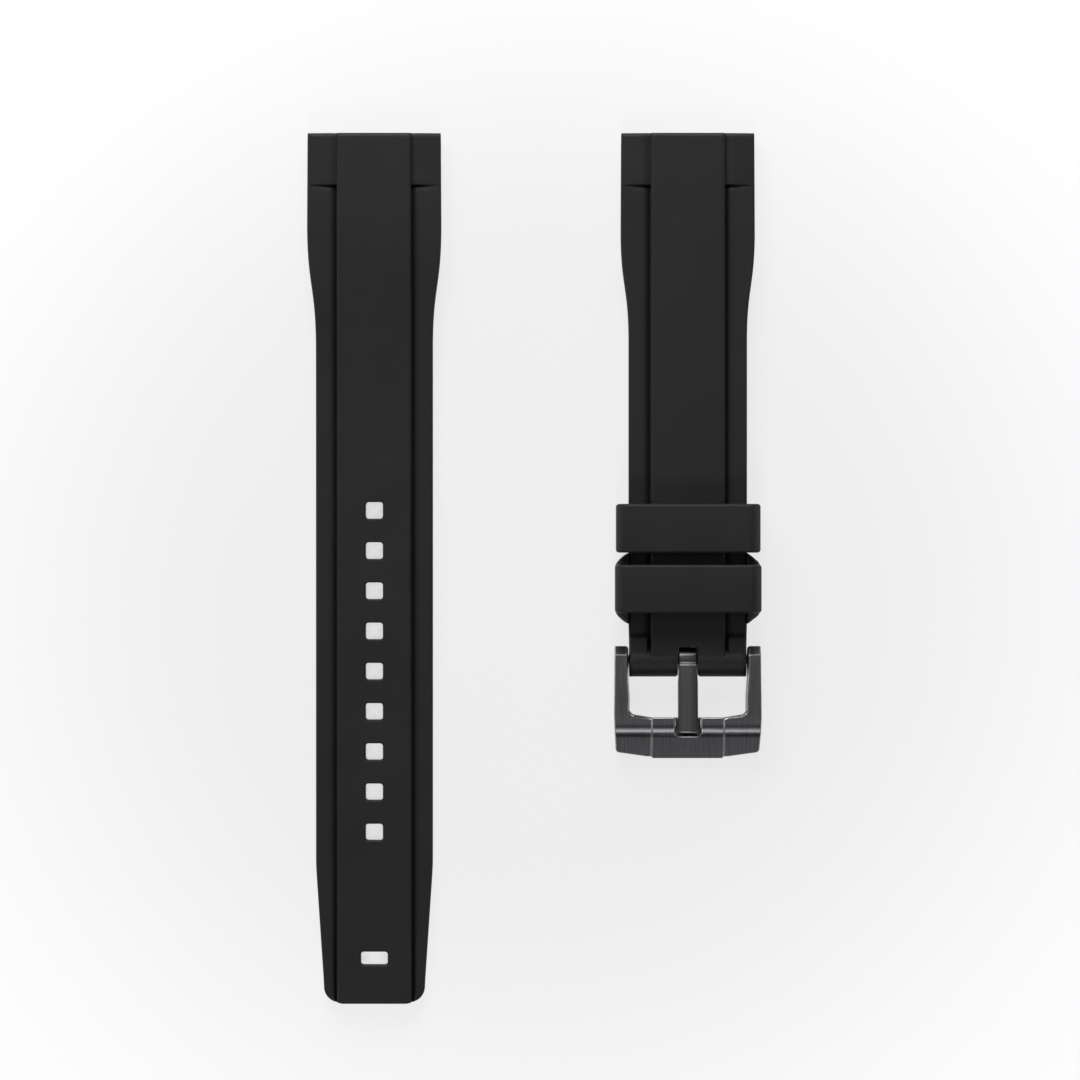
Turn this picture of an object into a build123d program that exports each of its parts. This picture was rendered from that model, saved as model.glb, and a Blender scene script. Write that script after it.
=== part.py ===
from build123d import *
import os
from math import cos, pi, sin, sqrt

# A two-piece moulded rubber dive strap, laid flat face up: the tail half beside the buckle half.
# Millimetres. +X runs across the straps, +Y towards the watch ends, +Z up from the table.
# Each half is drawn by (x, s, z), where s is the distance from the watch end towards the tip.

# Layout of the two halves
half_spacing = 47.15
zero = 0.0
overrun = 1.0
slice_reach = 60.0

# Watch end, the same on both halves
lug_width = 20.0
flare_swell = 0.075
lug_thickness = 4.8
lug_edge_radius = 0.6
lug_corner_radius = 1.8
lug_bore_radius = 0.9
lug_bore_setback = 2.4
lug_bore_height = 2.3
shoulder_length = 7.8
shoulder_drop = 0.45

# Raised centre band and the flange on either side of it
band_width = 11.15
band_edge_radius = 0.45
flange_drop = 0.95
flange_edge_chamfer = 0.35

# Tail half
tail_length = 130.95
tail_waist_start = 13.8
tail_waist_end = 32.1
tail_waist_inset = 1.2
tail_slope_start = 9.0
tail_slope_end = 44.0
tail_mid_thickness = 3.1
tail_tip_thickness = 2.8
tip_taper_setback = 20.75
tip_straight_setback = 2.85
tip_taper_inset = 1.2
tip_blend_radius = 20.0
tip_corner_radius = 2.3
tip_band_reach = 0.2
tip_band_chamfer = 0.6

# Adjustment holes and the slot near the tip
hole_count = 9
hole_pitch = 6.05
last_hole_setback = 25.85
hole_width = 2.6
hole_length = 2.5
hole_corner_radius = 0.45
tip_slot_setback = 6.85
tip_slot_width = 4.05
tip_slot_length = 2.0
tip_slot_corner_radius = 0.45

# Buckle half
buckle_waist_start = 14.8
buckle_waist_end = 31.3
buckle_waist_inset = 1.1
buckle_band_top = 4.7
underside_rise_start = 12.0
underside_rise_end = 30.0
underside_height = 1.5
hinge_distance = 79.1
hinge_height = 2.6
roll_radius = 2.25
roll_end_setback = 2.6
roll_side_relief = 0.1
roll_block_length = 3.4
roll_block_drop = 0.2
roll_block_bevel = 0.5
roll_groove_width = 0.55
roll_ramp_length = 5.2
tongue_slot_width = 3.0
tongue_slot_end = 1.9
tongue_slot_corner_radius = 0.25
tongue_slot_mouth_flare = 0.3

# Keepers
keeper_outer_height = 9.1
keeper_top_wall = 1.3
keeper_corner_radius = 1.8
keeper_inner_radius = 0.6
keeper_rim_chamfer = 0.35
floating_length = 7.3
floating_side_wall = 1.6
floating_floor = 1.2
floating_clearance = 0.3
keeper_gap = 0.1
fixed_side_wall = 2.05
fixed_base_setback = 5.35
fixed_base_length = 10.6
fixed_foot_reach = 1.7
fixed_base_height = 3.6
fixed_base_taper = 2.0
fixed_base_bulge = 0.25

# Buckle frame, from the hinge axis
arm_end_radius = 2.0
arm_facet_start = 0.7
arm_facet_height = 0.6
arm_facet_radius = 0.5
arm_side_clearance = 0.14
arm_thickness = 2.03
arm_inner_draw = 0.19
arm_outer_swell = 0.105
frame_front_reach = 14.77
crossbar_depth = 6.07
window_bow = 0.55
window_corner_radius = 0.9
frame_shoulder_radius = 12.0
frame_corner_setback = 0.77
frame_corner_draw = 0.275
frame_corner_radius = 0.6
ridge_setback = 3.92
ridge_rise = 2.6
ridge_radius = 1.4
arm_sweep_radius = 15.0
window_edge_rise = 2.3
front_edge_drop = 1.7
front_foot_inset = 0.7
front_foot_radius = 0.35
belly_rise = 0.45
belly_top_setback = 2.67
belly_foot_setback = 1.5
belly_radius = 0.6
panel_side_inset = 0.145
panel_rise = 0.27
panel_chamfer = 0.3
frame_edge_chamfer = 0.25
notch_width = 3.46
notch_past_ridge = 0.55
notch_corner_radius = 0.6
notch_chamfer = 0.3
upright_share = 0.9

# Tongue, from the hinge axis
tongue_barrel_radius = 1.8
tongue_barrel_width = 2.6
tongue_width = 3.04
tongue_flare_length = 1.8
tongue_step_start = 0.7
tongue_step_rise = 1.95
tongue_tip_gap = 0.4
tongue_tip_rise = 2.55
tongue_thickness = 1.2
tongue_tip_radius = 0.55
tongue_edge_chamfer = 0.2
tongue_rest_gap = 0.04

# Spring bar that joins the buckle to the rubber
bar_tube_radius = 0.75
bar_tube_wall = 0.2
bar_tube_setback = 1.5
bar_crimp_length = 0.35
bar_running_clearance = 0.05
pin_head_length = 0.7
pin_neck_radius = 0.42
pin_flange_radius = 0.7
pin_flange_length = 0.3
pin_face_gap = 0.04
pin_tip_radius = 0.4
pin_tip_length = 0.85
pin_tip_chamfer = 0.12
pin_hole_depth = 1.05
spring_wire_radius = 0.08
spring_wire_sides = 6
spring_turns = 10
spring_seat_gap = 0.02
spring_spans_per_turn = 2

# Widths that follow from the sizes above, and places as distances from each half's watch end
flare_width = lug_width + flare_swell + flare_swell
tail_width = lug_width - tail_waist_inset - tail_waist_inset
buckle_strap_width = lug_width - buckle_waist_inset - buckle_waist_inset
tip_taper_start = tail_length - tip_taper_setback
tip_taper_end = tail_length - tip_straight_setback
tip_width = tail_width - tip_taper_inset - tip_taper_inset
tip_slot_centre = tail_length - tip_slot_setback
last_hole = tail_length - last_hole_setback
roll_end = hinge_distance + roll_end_setback
roll_width = buckle_strap_width - roll_side_relief - roll_side_relief
roll_block_start = hinge_distance - roll_block_length
roll_ramp_start = hinge_distance - roll_ramp_length
fixed_base_end = hinge_distance - fixed_base_setback
fixed_base_start = fixed_base_end - fixed_base_length
fixed_width = buckle_strap_width + fixed_side_wall + fixed_side_wall
floating_start = fixed_base_start - keeper_gap - floating_length
floating_opening = buckle_strap_width + floating_clearance + floating_clearance
floating_width = floating_opening + floating_side_wall + floating_side_wall

# Places on the buckle that follow from them, as reaches from the hinge axis towards the tip
arm_gap = roll_width + arm_side_clearance + arm_side_clearance
arm_gap_low = arm_gap - arm_inner_draw - arm_inner_draw
arm_outer_width = arm_gap + arm_thickness + arm_thickness
frame_width = arm_outer_width + arm_outer_swell + arm_outer_swell
frame_corner_width = frame_width - frame_corner_draw - frame_corner_draw
frame_corner_reach = frame_front_reach - frame_corner_setback
window_reach_centre = frame_front_reach - crossbar_depth
window_reach = window_reach_centre - window_bow
arm_narrow_end = (roll_end_setback + window_reach) / 2
ridge_reach = frame_front_reach - ridge_setback
panel_width = band_width - panel_side_inset - panel_side_inset
notch_reach = ridge_reach + notch_past_ridge
tongue_tip_reach = notch_reach - tongue_tip_gap
tongue_flare_end = tongue_barrel_radius + tongue_flare_length
bar_tube_length = roll_width - bar_tube_setback - bar_tube_setback

# Views in which the outlines are drawn: from above by (x, s), and from the side by (s, z)
plan_view = Plane(origin=(0, 0, 0), x_dir=(1, 0, 0), z_dir=(0, 0, -1))
side_view = Plane(origin=(0, 0, 0), x_dir=(0, -1, 0), z_dir=(-1, 0, 0))
end_view = Plane(origin=(0, 0, 0), x_dir=(1, 0, 0), z_dir=(0, -1, 0))


def from_above(sketch):
    """A plan outline as a block that is tall enough for any piece."""
    return extrude(plan_view * sketch, amount=slice_reach, both=True)


def from_side(sketch, half_width=slice_reach):
    """A side outline as a block, half_width to each side of the centre line."""
    return extrude(side_view * sketch, amount=half_width, both=True)


def filled(edges):
    """The face inside a closed run of lines and curves."""
    return make_face(Wire(edges))


def at_corners(sketch, places, radius):
    """The sketch with the corners nearest the given places rounded."""
    corners = [sketch.vertices().sort_by_distance(place)[0] for place in places]
    return fillet(corners, radius)


def both_sides(width, reach):
    """The two points at a reach that stand a width apart, one on each side of the centre line."""
    return [(width / 2, reach), (-width / 2, reach)]


def across_bar(radius, half_length, s, z):
    """A round bar along X at distance s and height z."""
    return Pos(0, -s, z) * Rot(0, 90, 0) * Cylinder(radius, half_length + half_length)


def strap_outline(waist_start, waist_end, slim_width, stations):
    """Plan of a strap: widening a little past the lugs, an S-shaped waist, then (s, width) stations."""
    middle = (waist_start + waist_end) / 2
    growth = (flare_width - lug_width) / waist_start
    lead = flare_width + growth * (middle - waist_start)
    edges = []
    tips = []
    for side in (1, -1):
        wide_point = (side * flare_width / 2, waist_start)
        wide_handle = (side * lead / 2, middle)
        slim_handle = (side * slim_width / 2, middle)
        slim_point = (side * slim_width / 2, waist_end)
        edges.append(Line((side * lug_width / 2, zero), wide_point))
        edges.append(Bezier(wide_point, wide_handle, slim_handle, slim_point))
        last = slim_point
        for s, width in stations:
            edges.append(Line(last, (side * width / 2, s)))
            last = (side * width / 2, s)
        tips.append(last)
    edges.append(Line((-lug_width / 2, zero), (lug_width / 2, zero)))
    edges.append(Line(tips[0], tips[1]))
    return filled(edges)


def rounded_lug_end(side_view, lug_top):
    """The side view with its watch end rounded: a little on the face, and round the bore underneath."""
    side_view = at_corners(side_view, [(zero, lug_top)], lug_edge_radius)
    return at_corners(side_view, [(zero, zero)], lug_corner_radius)


def tail_side(drop, reach):
    """Side view of the tail half: flat underside, thick at the lugs and thinner along the tail."""
    middle = (tail_slope_start + tail_slope_end) / 2
    lug_top = lug_thickness - drop
    mid_top = tail_mid_thickness - drop
    tip_top = tail_tip_thickness - drop
    slope_end = mid_top + (mid_top - tip_top) * (tail_slope_end - middle) / (reach - tail_slope_end)
    start = (tail_slope_start, lug_top)
    end = (tail_slope_end, mid_top)
    edges = [
        Line((zero, zero), (zero, lug_top)),
        Line((zero, lug_top), start),
        Bezier(start, (middle, lug_top), (middle, slope_end), end),
        Line(end, (reach, tip_top)),
        Line((reach, tip_top), (reach, zero)),
        Line((reach, zero), (zero, zero)),
    ]
    return rounded_lug_end(filled(edges), lug_top)


def buckle_side(drop):
    """Side view of the buckle half: its underside rises, and its end is a roll round the spring bar."""
    top_middle = (tail_slope_start + tail_slope_end) / 2
    rise_middle = (underside_rise_start + underside_rise_end) / 2
    lug_top = lug_thickness - drop
    band_top = buckle_band_top - drop
    roll_centre = roll_end - roll_radius
    roll_bottom = hinge_height - roll_radius
    ramp_middle = (roll_ramp_start + roll_centre) / 2
    roll_start = roll_centre - sqrt(roll_radius**2 - (band_top - hinge_height) ** 2)
    edges = [
        Line((zero, zero), (zero, lug_top)),
        Line((zero, lug_top), (tail_slope_start, lug_top)),
        Bezier(
            (tail_slope_start, lug_top),
            (top_middle, lug_top),
            (top_middle, band_top),
            (tail_slope_end, band_top),
        ),
        Line((tail_slope_end, band_top), (roll_start, band_top)),
        ThreePointArc((roll_start, band_top), (roll_end, hinge_height), (roll_centre, roll_bottom)),
        Bezier(
            (roll_centre, roll_bottom),
            (ramp_middle, roll_bottom),
            (ramp_middle, underside_height),
            (roll_ramp_start, underside_height),
        ),
        Line((roll_ramp_start, underside_height), (underside_rise_end, underside_height)),
        Bezier(
            (underside_rise_end, underside_height),
            (rise_middle, underside_height),
            (rise_middle, zero),
            (underside_rise_start, zero),
        ),
        Line((underside_rise_start, zero), (zero, zero)),
    ]
    return rounded_lug_end(filled(edges), lug_top)


def long_top_edges(solid, half_width):
    """The top edges that run along the strap at the given half width."""
    edges = solid.edges().filter_by(lambda edge: abs(abs(edge.center().X) - half_width) < band_edge_radius)
    runs = edges.filter_by(lambda edge: abs((edge @ 1).Y - (edge @ 0).Y) > lug_corner_radius)
    return runs.filter_by(lambda edge: edge.center().Z > lug_bore_height)


def softened_sides(flange, end_reach):
    """The flange with the top and bottom edges of its long sides softened, up to end_reach."""
    sides = flange.edges().filter_by(lambda edge: abs(edge.center().X) > band_width / 2)
    runs = sides.filter_by(lambda edge: abs((edge @ 1).Y - (edge @ 0).Y) > flange_edge_chamfer)
    return chamfer(runs.filter_by(lambda edge: edge.center().Y > -end_reach), flange_edge_chamfer)


def shoulders(outline, side):
    """The blocks beside the band at the lugs, whose tops fall away outwards to the flange's level."""
    top = lug_thickness - shoulder_drop
    low = lug_thickness - flange_drop
    section = Polygon(
        (-lug_width / 2, zero),
        (lug_width / 2, zero),
        (lug_width / 2, low),
        (band_width / 2, top),
        (-band_width / 2, top),
        (-lug_width / 2, low),
        align=None,
    )
    low_corners = [section.vertices().sort_by_distance(place)[0] for place in both_sides(lug_width, low)]
    section = chamfer(low_corners, flange_edge_chamfer)
    block = extrude(end_view * section, amount=shoulder_length)
    return block & outline & side


def rounded_cut(s, width, length, radius):
    """A through hole with rounded corners, centred on the strap at distance s."""
    return from_above(Pos(0, s) * RectangleRounded(width, length, radius))


def make_tail_strap():
    """The long half, with its adjustment holes and its tapered tip."""
    flange_reach = tail_length - tip_band_reach
    stations = [
        (tip_taper_start, tail_width),
        (tip_taper_end, tip_width),
        (flange_reach, tip_width),
    ]
    plan = strap_outline(tail_waist_start, tail_waist_end, tail_width, stations)
    plan = at_corners(plan, both_sides(tail_width, tip_taper_start), tip_blend_radius)
    plan = at_corners(plan, both_sides(tip_width, flange_reach), tip_corner_radius)
    outline = from_above(plan)
    flange = softened_sides(outline & from_side(tail_side(flange_drop, flange_reach)), flange_reach)
    band_plan = Pos(0, tail_length / 2) * Rectangle(band_width, tail_length)
    band_tips = band_plan.vertices().group_by(Axis.Y)[-1]
    band_plan = chamfer(band_tips, tip_band_chamfer, tip_band_reach)
    band_side = from_side(tail_side(zero, tail_length))
    band = from_above(band_plan) & band_side
    band = fillet(long_top_edges(band, band_width / 2), band_edge_radius)
    strap = flange + shoulders(outline, band_side) + band
    for number in range(hole_count):
        strap -= rounded_cut(last_hole - number * hole_pitch, hole_width, hole_length, hole_corner_radius)
    strap -= rounded_cut(tip_slot_centre, tip_slot_width, tip_slot_length, tip_slot_corner_radius)
    strap -= across_bar(lug_bore_radius, lug_width, lug_bore_setback, lug_bore_height)
    return strap


def make_buckle_strap():
    """The short half, which ends in a roll round the buckle's spring bar."""
    stations = [
        (fixed_base_end, buckle_strap_width),
        (hinge_distance - arm_end_radius, roll_width),
        (roll_end, roll_width),
    ]
    outline = from_above(strap_outline(buckle_waist_start, buckle_waist_end, buckle_strap_width, stations))
    flange = softened_sides(outline & from_side(buckle_side(flange_drop)), roll_end)
    band_side = from_side(buckle_side(zero))
    band = from_above(Pos(0, hinge_distance / 2) * Rectangle(band_width, hinge_distance)) & band_side
    band = fillet(long_top_edges(band, band_width / 2), band_edge_radius)
    strap = flange + shoulders(outline, band_side) + band
    for side in (1, -1):
        strap += roll_block(side) & outline
    slot_length = roll_end + tongue_slot_end - hinge_distance
    slot = Rectangle(tongue_slot_width, slot_length + overrun)
    slot = Pos(0, roll_end - slot_length / 2 + overrun / 2) * slot
    slot = fillet(slot.vertices().group_by(Axis.Y)[0], tongue_slot_corner_radius)
    slot += Pos(0, roll_end) * tongue_slot_mouth()
    strap -= from_above(slot)
    strap -= across_bar(lug_bore_radius, lug_width, lug_bore_setback, lug_bore_height)
    bore_radius = bar_tube_radius + bar_running_clearance
    strap -= across_bar(bore_radius, roll_width, hinge_distance, hinge_height)
    return strap


def tongue_slot_mouth():
    """The slot's mouth, flared where the roll ends."""
    inner = tongue_slot_width / 2
    flared = inner + tongue_slot_mouth_flare
    right_side = [(inner, -tongue_slot_mouth_flare), (flared, zero), (flared, overrun)]
    left_side = [(-x, s) for x, s in reversed(right_side)]
    return Polygon(*right_side, *left_side, align=None)


def roll_block(side):
    """The block that steps up from the flange beside the band and runs into the roll."""
    inner = band_width / 2 + roll_groove_width
    outer = roll_width / 2
    top = buckle_band_top - roll_block_drop
    low = buckle_band_top - flange_drop
    section = Polygon(
        (side * inner, underside_height + flange_edge_chamfer),
        (side * outer, underside_height + flange_edge_chamfer),
        (side * outer, low),
        (side * (outer - roll_block_bevel), top),
        (side * inner, top),
        align=None,
    )
    block = extrude(end_view * section, amount=hinge_distance - roll_block_start)
    return Pos(0, -roll_block_start, 0) * block


def keeper_ring(width, length, floor, opening_width):
    """A rubber loop round the strap, and the opening along the strap that its inside holds."""
    section = RectangleRounded(width, keeper_outer_height, keeper_corner_radius)
    section = Pos(0, keeper_outer_height / 2) * section
    opening_height = keeper_outer_height - keeper_top_wall - floor
    opening = Pos(0, floor + opening_height / 2) * Rectangle(opening_width, opening_height)
    opening = fillet(opening.vertices().group_by(Axis.Y)[-1], keeper_inner_radius)
    opening = chamfer(opening.vertices().group_by(Axis.Y)[0], flange_edge_chamfer)
    return extrude(end_view * section, amount=length), extrude(end_view * opening, amount=length)


def make_floating_keeper():
    """The loop that slides along the buckle half."""
    block, opening = keeper_ring(floating_width, floating_length, floating_floor, floating_opening)
    block = chamfer(rim_edges(block), keeper_rim_chamfer)
    return Pos(0, -floating_start, 0) * (block - opening)


def rim_edges(block):
    """The edges round the two open ends of a loop."""
    groups = block.edges().group_by(Axis.Y)
    return groups[0] + groups[-1]


def make_fixed_keeper():
    """The loop bonded on beside the buckle, whose foot spreads along the strap's sides."""
    block, opening = keeper_ring(fixed_width, fixed_base_length, underside_height, buckle_strap_width)
    ends = (fixed_base_start, fixed_base_end)
    tops = (fixed_base_start + fixed_foot_reach, fixed_base_end - fixed_foot_reach)
    taper_top = fixed_base_height + fixed_base_taper
    side_outline = Polygon(
        (ends[0], zero),
        (ends[0], fixed_base_height),
        (tops[0], taper_top),
        (tops[0], keeper_outer_height),
        (tops[1], keeper_outer_height),
        (tops[1], taper_top),
        (ends[1], fixed_base_height),
        (ends[1], zero),
        align=None,
    )
    top_corners = side_outline.vertices().group_by(Axis.Y)[-1]
    side_outline = chamfer(top_corners, keeper_rim_chamfer)
    plan_edges = []
    for side in (1, -1):
        strap_side = side * buckle_strap_width / 2
        outer = side * fixed_width / 2
        plan_edges.append(Line((outer, tops[0]), (outer, tops[1])))
        for end, top, way in zip(ends, tops, (-1, 1)):
            bulge = (
                (strap_side + outer) / 2 + side * fixed_base_bulge,
                (end + top) / 2 + way * fixed_base_bulge,
            )
            plan_edges.append(ThreePointArc((outer, top), bulge, (strap_side, end)))
    for end in ends:
        plan_edges.append(Line((buckle_strap_width / 2, end), (-buckle_strap_width / 2, end)))
    ring = Pos(0, -fixed_base_start, 0) * (block - opening)
    return ring & from_side(side_outline) & from_above(filled(plan_edges))


def frame_side(rise):
    """Side view of the frame: a faceted hinge end, a soft ridge, and a face that slopes to the table."""
    foot = -hinge_height
    front = frame_front_reach + rise
    top_start = (-arm_facet_start, arm_end_radius)
    facet_low = (-arm_end_radius, arm_facet_height)
    top_edge = (window_reach_centre, window_edge_rise + rise)
    ridge = (ridge_reach, ridge_rise + rise)
    front_low = (front, -front_edge_drop)
    front_foot = (front - front_foot_inset, foot)
    rear_foot = (zero, -arm_end_radius)
    edges = [
        RadiusArc(rear_foot, (-arm_end_radius, zero), arm_end_radius),
        Line((-arm_end_radius, zero), facet_low),
        Line(facet_low, top_start),
        Line(top_start, top_edge),
        Line(top_edge, ridge),
        Line(ridge, front_low),
        Line(front_low, front_foot),
        Line(front_foot, (window_reach_centre, foot)),
        Line((window_reach_centre, foot), rear_foot),
    ]
    face = at_corners(filled(edges), [ridge], ridge_radius)
    face = at_corners(face, [top_edge], arm_sweep_radius)
    face = at_corners(face, [facet_low, top_start], arm_facet_radius)
    face = at_corners(face, [front_low], front_foot_radius)
    return Pos(hinge_distance, hinge_height) * face


def frame_plan():
    """Plan of the frame: two arms open to the rubber, and a crossbar whose front is a shallow V."""
    edges = []
    for side in (1, -1):
        points = [
            (side * arm_outer_width / 2, -arm_end_radius),
            (side * frame_width / 2, window_reach_centre),
            (side * frame_corner_width / 2, frame_corner_reach),
            (side * panel_width / 2, frame_front_reach),
        ]
        edges += [Line(a, b) for a, b in zip(points, points[1:])]
    edges.append(Line((-arm_outer_width / 2, -arm_end_radius), (arm_outer_width / 2, -arm_end_radius)))
    edges.append(Line((-panel_width / 2, frame_front_reach), (panel_width / 2, frame_front_reach)))
    outline = filled(edges)
    outline = at_corners(outline, both_sides(frame_width, window_reach_centre), frame_shoulder_radius)
    return at_corners(outline, both_sides(frame_corner_width, frame_corner_reach), frame_corner_radius)


def window_plan():
    """Plan of the opening between the arms."""
    edges = []
    for side in (1, -1):
        points = [
            (side * arm_gap / 2, -arm_end_radius - overrun),
            (side * arm_gap / 2, roll_end_setback),
            (side * arm_gap_low / 2, arm_narrow_end),
            (side * arm_gap_low / 2, window_reach),
            (side * panel_width / 2, window_reach_centre),
        ]
        edges += [Line(a, b) for a, b in zip(points, points[1:])]
    back = -arm_end_radius - overrun
    edges.append(Line((-arm_gap / 2, back), (arm_gap / 2, back)))
    edges.append(Line((-panel_width / 2, window_reach_centre), (panel_width / 2, window_reach_centre)))
    return at_corners(filled(edges), both_sides(arm_gap_low, window_reach), window_corner_radius)


def belly():
    """The hollow under the crossbar, where the tail passes through."""
    foot = -hinge_height - overrun
    points = [
        (zero, foot),
        (zero, belly_rise),
        (frame_front_reach - belly_top_setback, belly_rise),
        (frame_front_reach - belly_foot_setback, foot),
    ]
    section = at_corners(Polygon(*points, align=None), [points[2]], belly_radius)
    return from_side(Pos(hinge_distance, hinge_height) * section, arm_gap_low / 2)


def make_buckle_frame():
    """The metal frame: arms, crossbar with a raised centre panel, and a notch for the tongue's tip."""
    at_hinge = Pos(0, hinge_distance)
    body = from_above(at_hinge * frame_plan()) & from_side(frame_side(zero))
    panel_reach = frame_front_reach + panel_rise
    panel_plan = Pos(0, (window_reach_centre + panel_reach) / 2) * Rectangle(
        panel_width, panel_reach - window_reach_centre
    )
    panel_tips = panel_plan.vertices().group_by(Axis.Y)[-1]
    panel_plan = chamfer(panel_tips, panel_chamfer)
    panel = from_above(at_hinge * panel_plan) & from_side(frame_side(panel_rise))
    frame = body + panel
    frame -= from_above(at_hinge * window_plan())
    frame -= belly()
    arm_half_gaps = (arm_gap_low / 2 - frame_edge_chamfer, arm_gap / 2 + frame_edge_chamfer)
    arm_inside = upper_runs(frame, arm_half_gaps, window_reach - window_corner_radius, arm_facet_height)
    frame = chamfer(arm_inside, frame_edge_chamfer)
    frame -= notch()
    rim_half_widths = (zero, notch_width / 2 + notch_chamfer)
    rim = upper_runs(frame, rim_half_widths, notch_reach + notch_chamfer, arm_end_radius)
    frame = chamfer(rim, notch_chamfer)
    hole_radius = pin_tip_radius + bar_running_clearance
    for side in (1, -1):
        place = Pos(side * (arm_gap / 2 + pin_hole_depth / 2), -hinge_distance, hinge_height)
        frame -= place * Rot(0, 90, 0) * Cylinder(hole_radius, pin_hole_depth)
    return frame


def upper_runs(frame, half_widths, reach, rise):
    """The frame's edges between two half widths, up to a reach and above a rise, less the upright ones."""
    edges = frame.edges().filter_by(lambda edge: half_widths[0] <= abs(edge.center().X) < half_widths[1])
    edges = edges.filter_by(lambda edge: edge.center().Y > -hinge_distance - reach)
    edges = edges.filter_by(lambda edge: edge.center().Z > hinge_height + rise)
    return edges.filter_by(lambda edge: abs((edge @ 1).Z - (edge @ 0).Z) < edge.length * upright_share)


def tongue_slope():
    """Fall of the tongue's top line, as height per length."""
    return (tongue_tip_rise - tongue_step_rise) / (tongue_tip_reach - tongue_step_start)


def notch():
    """The seat for the tongue's tip, cut down into the crossbar's ridge."""
    length = notch_reach - window_reach_centre + overrun
    plan = Pos(0, notch_reach - length / 2) * Rectangle(notch_width, length)
    plan = fillet(plan.vertices().group_by(Axis.Y)[-1], notch_corner_radius)
    near = window_reach_centre - overrun
    far = notch_reach + overrun
    lift = tongue_step_rise - tongue_thickness - tongue_rest_gap - tongue_step_start * tongue_slope()
    room = Polygon(
        (near, lift + near * tongue_slope()),
        (far, lift + far * tongue_slope()),
        (far, ridge_rise + overrun),
        (near, ridge_rise + overrun),
        align=None,
    )
    at_hinge = Pos(hinge_distance, hinge_height)
    return from_above(Pos(0, hinge_distance) * plan) & from_side(at_hinge * room)


def make_tongue():
    """The tongue: a barrel that turns on the spring bar, and a blade that steps up from it."""
    slope = tongue_slope()
    under = tongue_step_rise - tongue_thickness - tongue_step_start * slope
    tip_under = under + tongue_tip_reach * slope
    blade = Polygon(
        (zero, under),
        (tongue_step_start, under),
        (tongue_tip_reach, tip_under),
        (tongue_tip_reach, tongue_tip_rise),
        (tongue_step_start, tongue_step_rise),
        (tongue_step_start, zero),
        (zero, zero),
        align=None,
    )
    side = Circle(tongue_barrel_radius) + blade
    side -= Circle(bar_tube_radius + bar_running_clearance)
    edges = []
    for turn in (1, -1):
        points = [
            (turn * tongue_barrel_width / 2, -tongue_barrel_radius - overrun),
            (turn * tongue_barrel_width / 2, tongue_barrel_radius),
            (turn * tongue_width / 2, tongue_flare_end),
            (turn * tongue_width / 2, tongue_tip_reach),
        ]
        edges += [Line(a, b) for a, b in zip(points, points[1:])]
    back = -tongue_barrel_radius - overrun
    edges.append(Line((-tongue_barrel_width / 2, back), (tongue_barrel_width / 2, back)))
    edges.append(Line((-tongue_width / 2, tongue_tip_reach), (tongue_width / 2, tongue_tip_reach)))
    plan = at_corners(filled(edges), both_sides(tongue_width, tongue_tip_reach), tongue_tip_radius)
    at_hinge = Pos(hinge_distance, hinge_height)
    tongue = from_above(Pos(0, hinge_distance) * plan) & from_side(at_hinge * side)
    top = tongue.edges().filter_by(lambda edge: edge.center().Z > hinge_height + tongue_barrel_radius)
    return chamfer(top, tongue_edge_chamfer)


def turned(points):
    """A piece turned about the hinge axis from (x, radius) points of its section."""
    section = make_face(Polyline(*points, close=True))
    solid = revolve(Plane.XY * section, Axis.X, revolution_arc=360)
    return Pos(0, -hinge_distance, hinge_height) * solid


def make_bar_tube():
    """The spring bar's tube, crimped in at both ends to hold the pins."""
    half = bar_tube_length / 2
    inner = bar_tube_radius - bar_tube_wall
    mouth = pin_neck_radius + bar_running_clearance
    points = [
        (-half, mouth),
        (-half, bar_tube_radius),
        (half, bar_tube_radius),
        (half, mouth),
        (half - bar_crimp_length, mouth),
        (half - bar_crimp_length, inner),
        (-half + bar_crimp_length, inner),
        (-half + bar_crimp_length, mouth),
    ]
    return turned(points)


def pin_stations():
    """Where the pin's steps lie along X: head, neck, flange and tip."""
    head_end = bar_tube_length / 2 - bar_crimp_length - pin_face_gap
    head_start = head_end - pin_head_length
    flange_end = arm_gap / 2 - pin_face_gap
    flange_start = flange_end - pin_flange_length
    tip_end = arm_gap / 2 + pin_tip_length
    return head_start, head_end, flange_start, flange_end, tip_end


def make_bar_pin(side):
    """A shouldered pin that the spring pushes out into the arm of the frame."""
    head_start, head_end, flange_start, flange_end, tip_end = pin_stations()
    head_radius = bar_tube_radius - bar_tube_wall - bar_running_clearance
    points = [
        (side * head_start, zero),
        (side * head_start, head_radius),
        (side * head_end, head_radius),
        (side * head_end, pin_neck_radius),
        (side * flange_start, pin_neck_radius),
        (side * flange_start, pin_flange_radius),
        (side * flange_end, pin_flange_radius),
        (side * flange_end, pin_tip_radius),
        (side * (tip_end - pin_tip_chamfer), pin_tip_radius),
        (side * tip_end, pin_tip_radius - pin_tip_chamfer),
        (side * tip_end, zero),
    ]
    return turned(points)


def coil_arcs(start, end, radius, turns):
    """A helix along X, as two tangent arcs for each half turn."""
    rate = (end - start) / (turns * 2 * pi)
    edges = []
    for number in range(turns * spring_spans_per_turn):
        angles = [(number + step) * 2 * pi / spring_spans_per_turn for step in (0, 1)]
        places = [Vector(start + rate * a, radius * cos(a), radius * sin(a)) for a in angles]
        ways = [Vector(rate, -radius * sin(a), radius * cos(a)).normalized() for a in angles]
        chord = places[1] - places[0]
        both = ways[0] + ways[1]
        turn = 2 * (1 - ways[0].dot(ways[1]))
        reach = (sqrt(chord.dot(both) ** 2 + turn * chord.dot(chord)) - chord.dot(both)) / turn
        joint = (places[0] + places[1] + (ways[0] - ways[1]) * reach) / 2
        through = (joint - places[0] - ways[0] * reach).normalized()
        edges.append(TangentArc(places[0], joint, tangent=ways[0]))
        edges.append(TangentArc(joint, places[1], tangent=through))
    return edges


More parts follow.
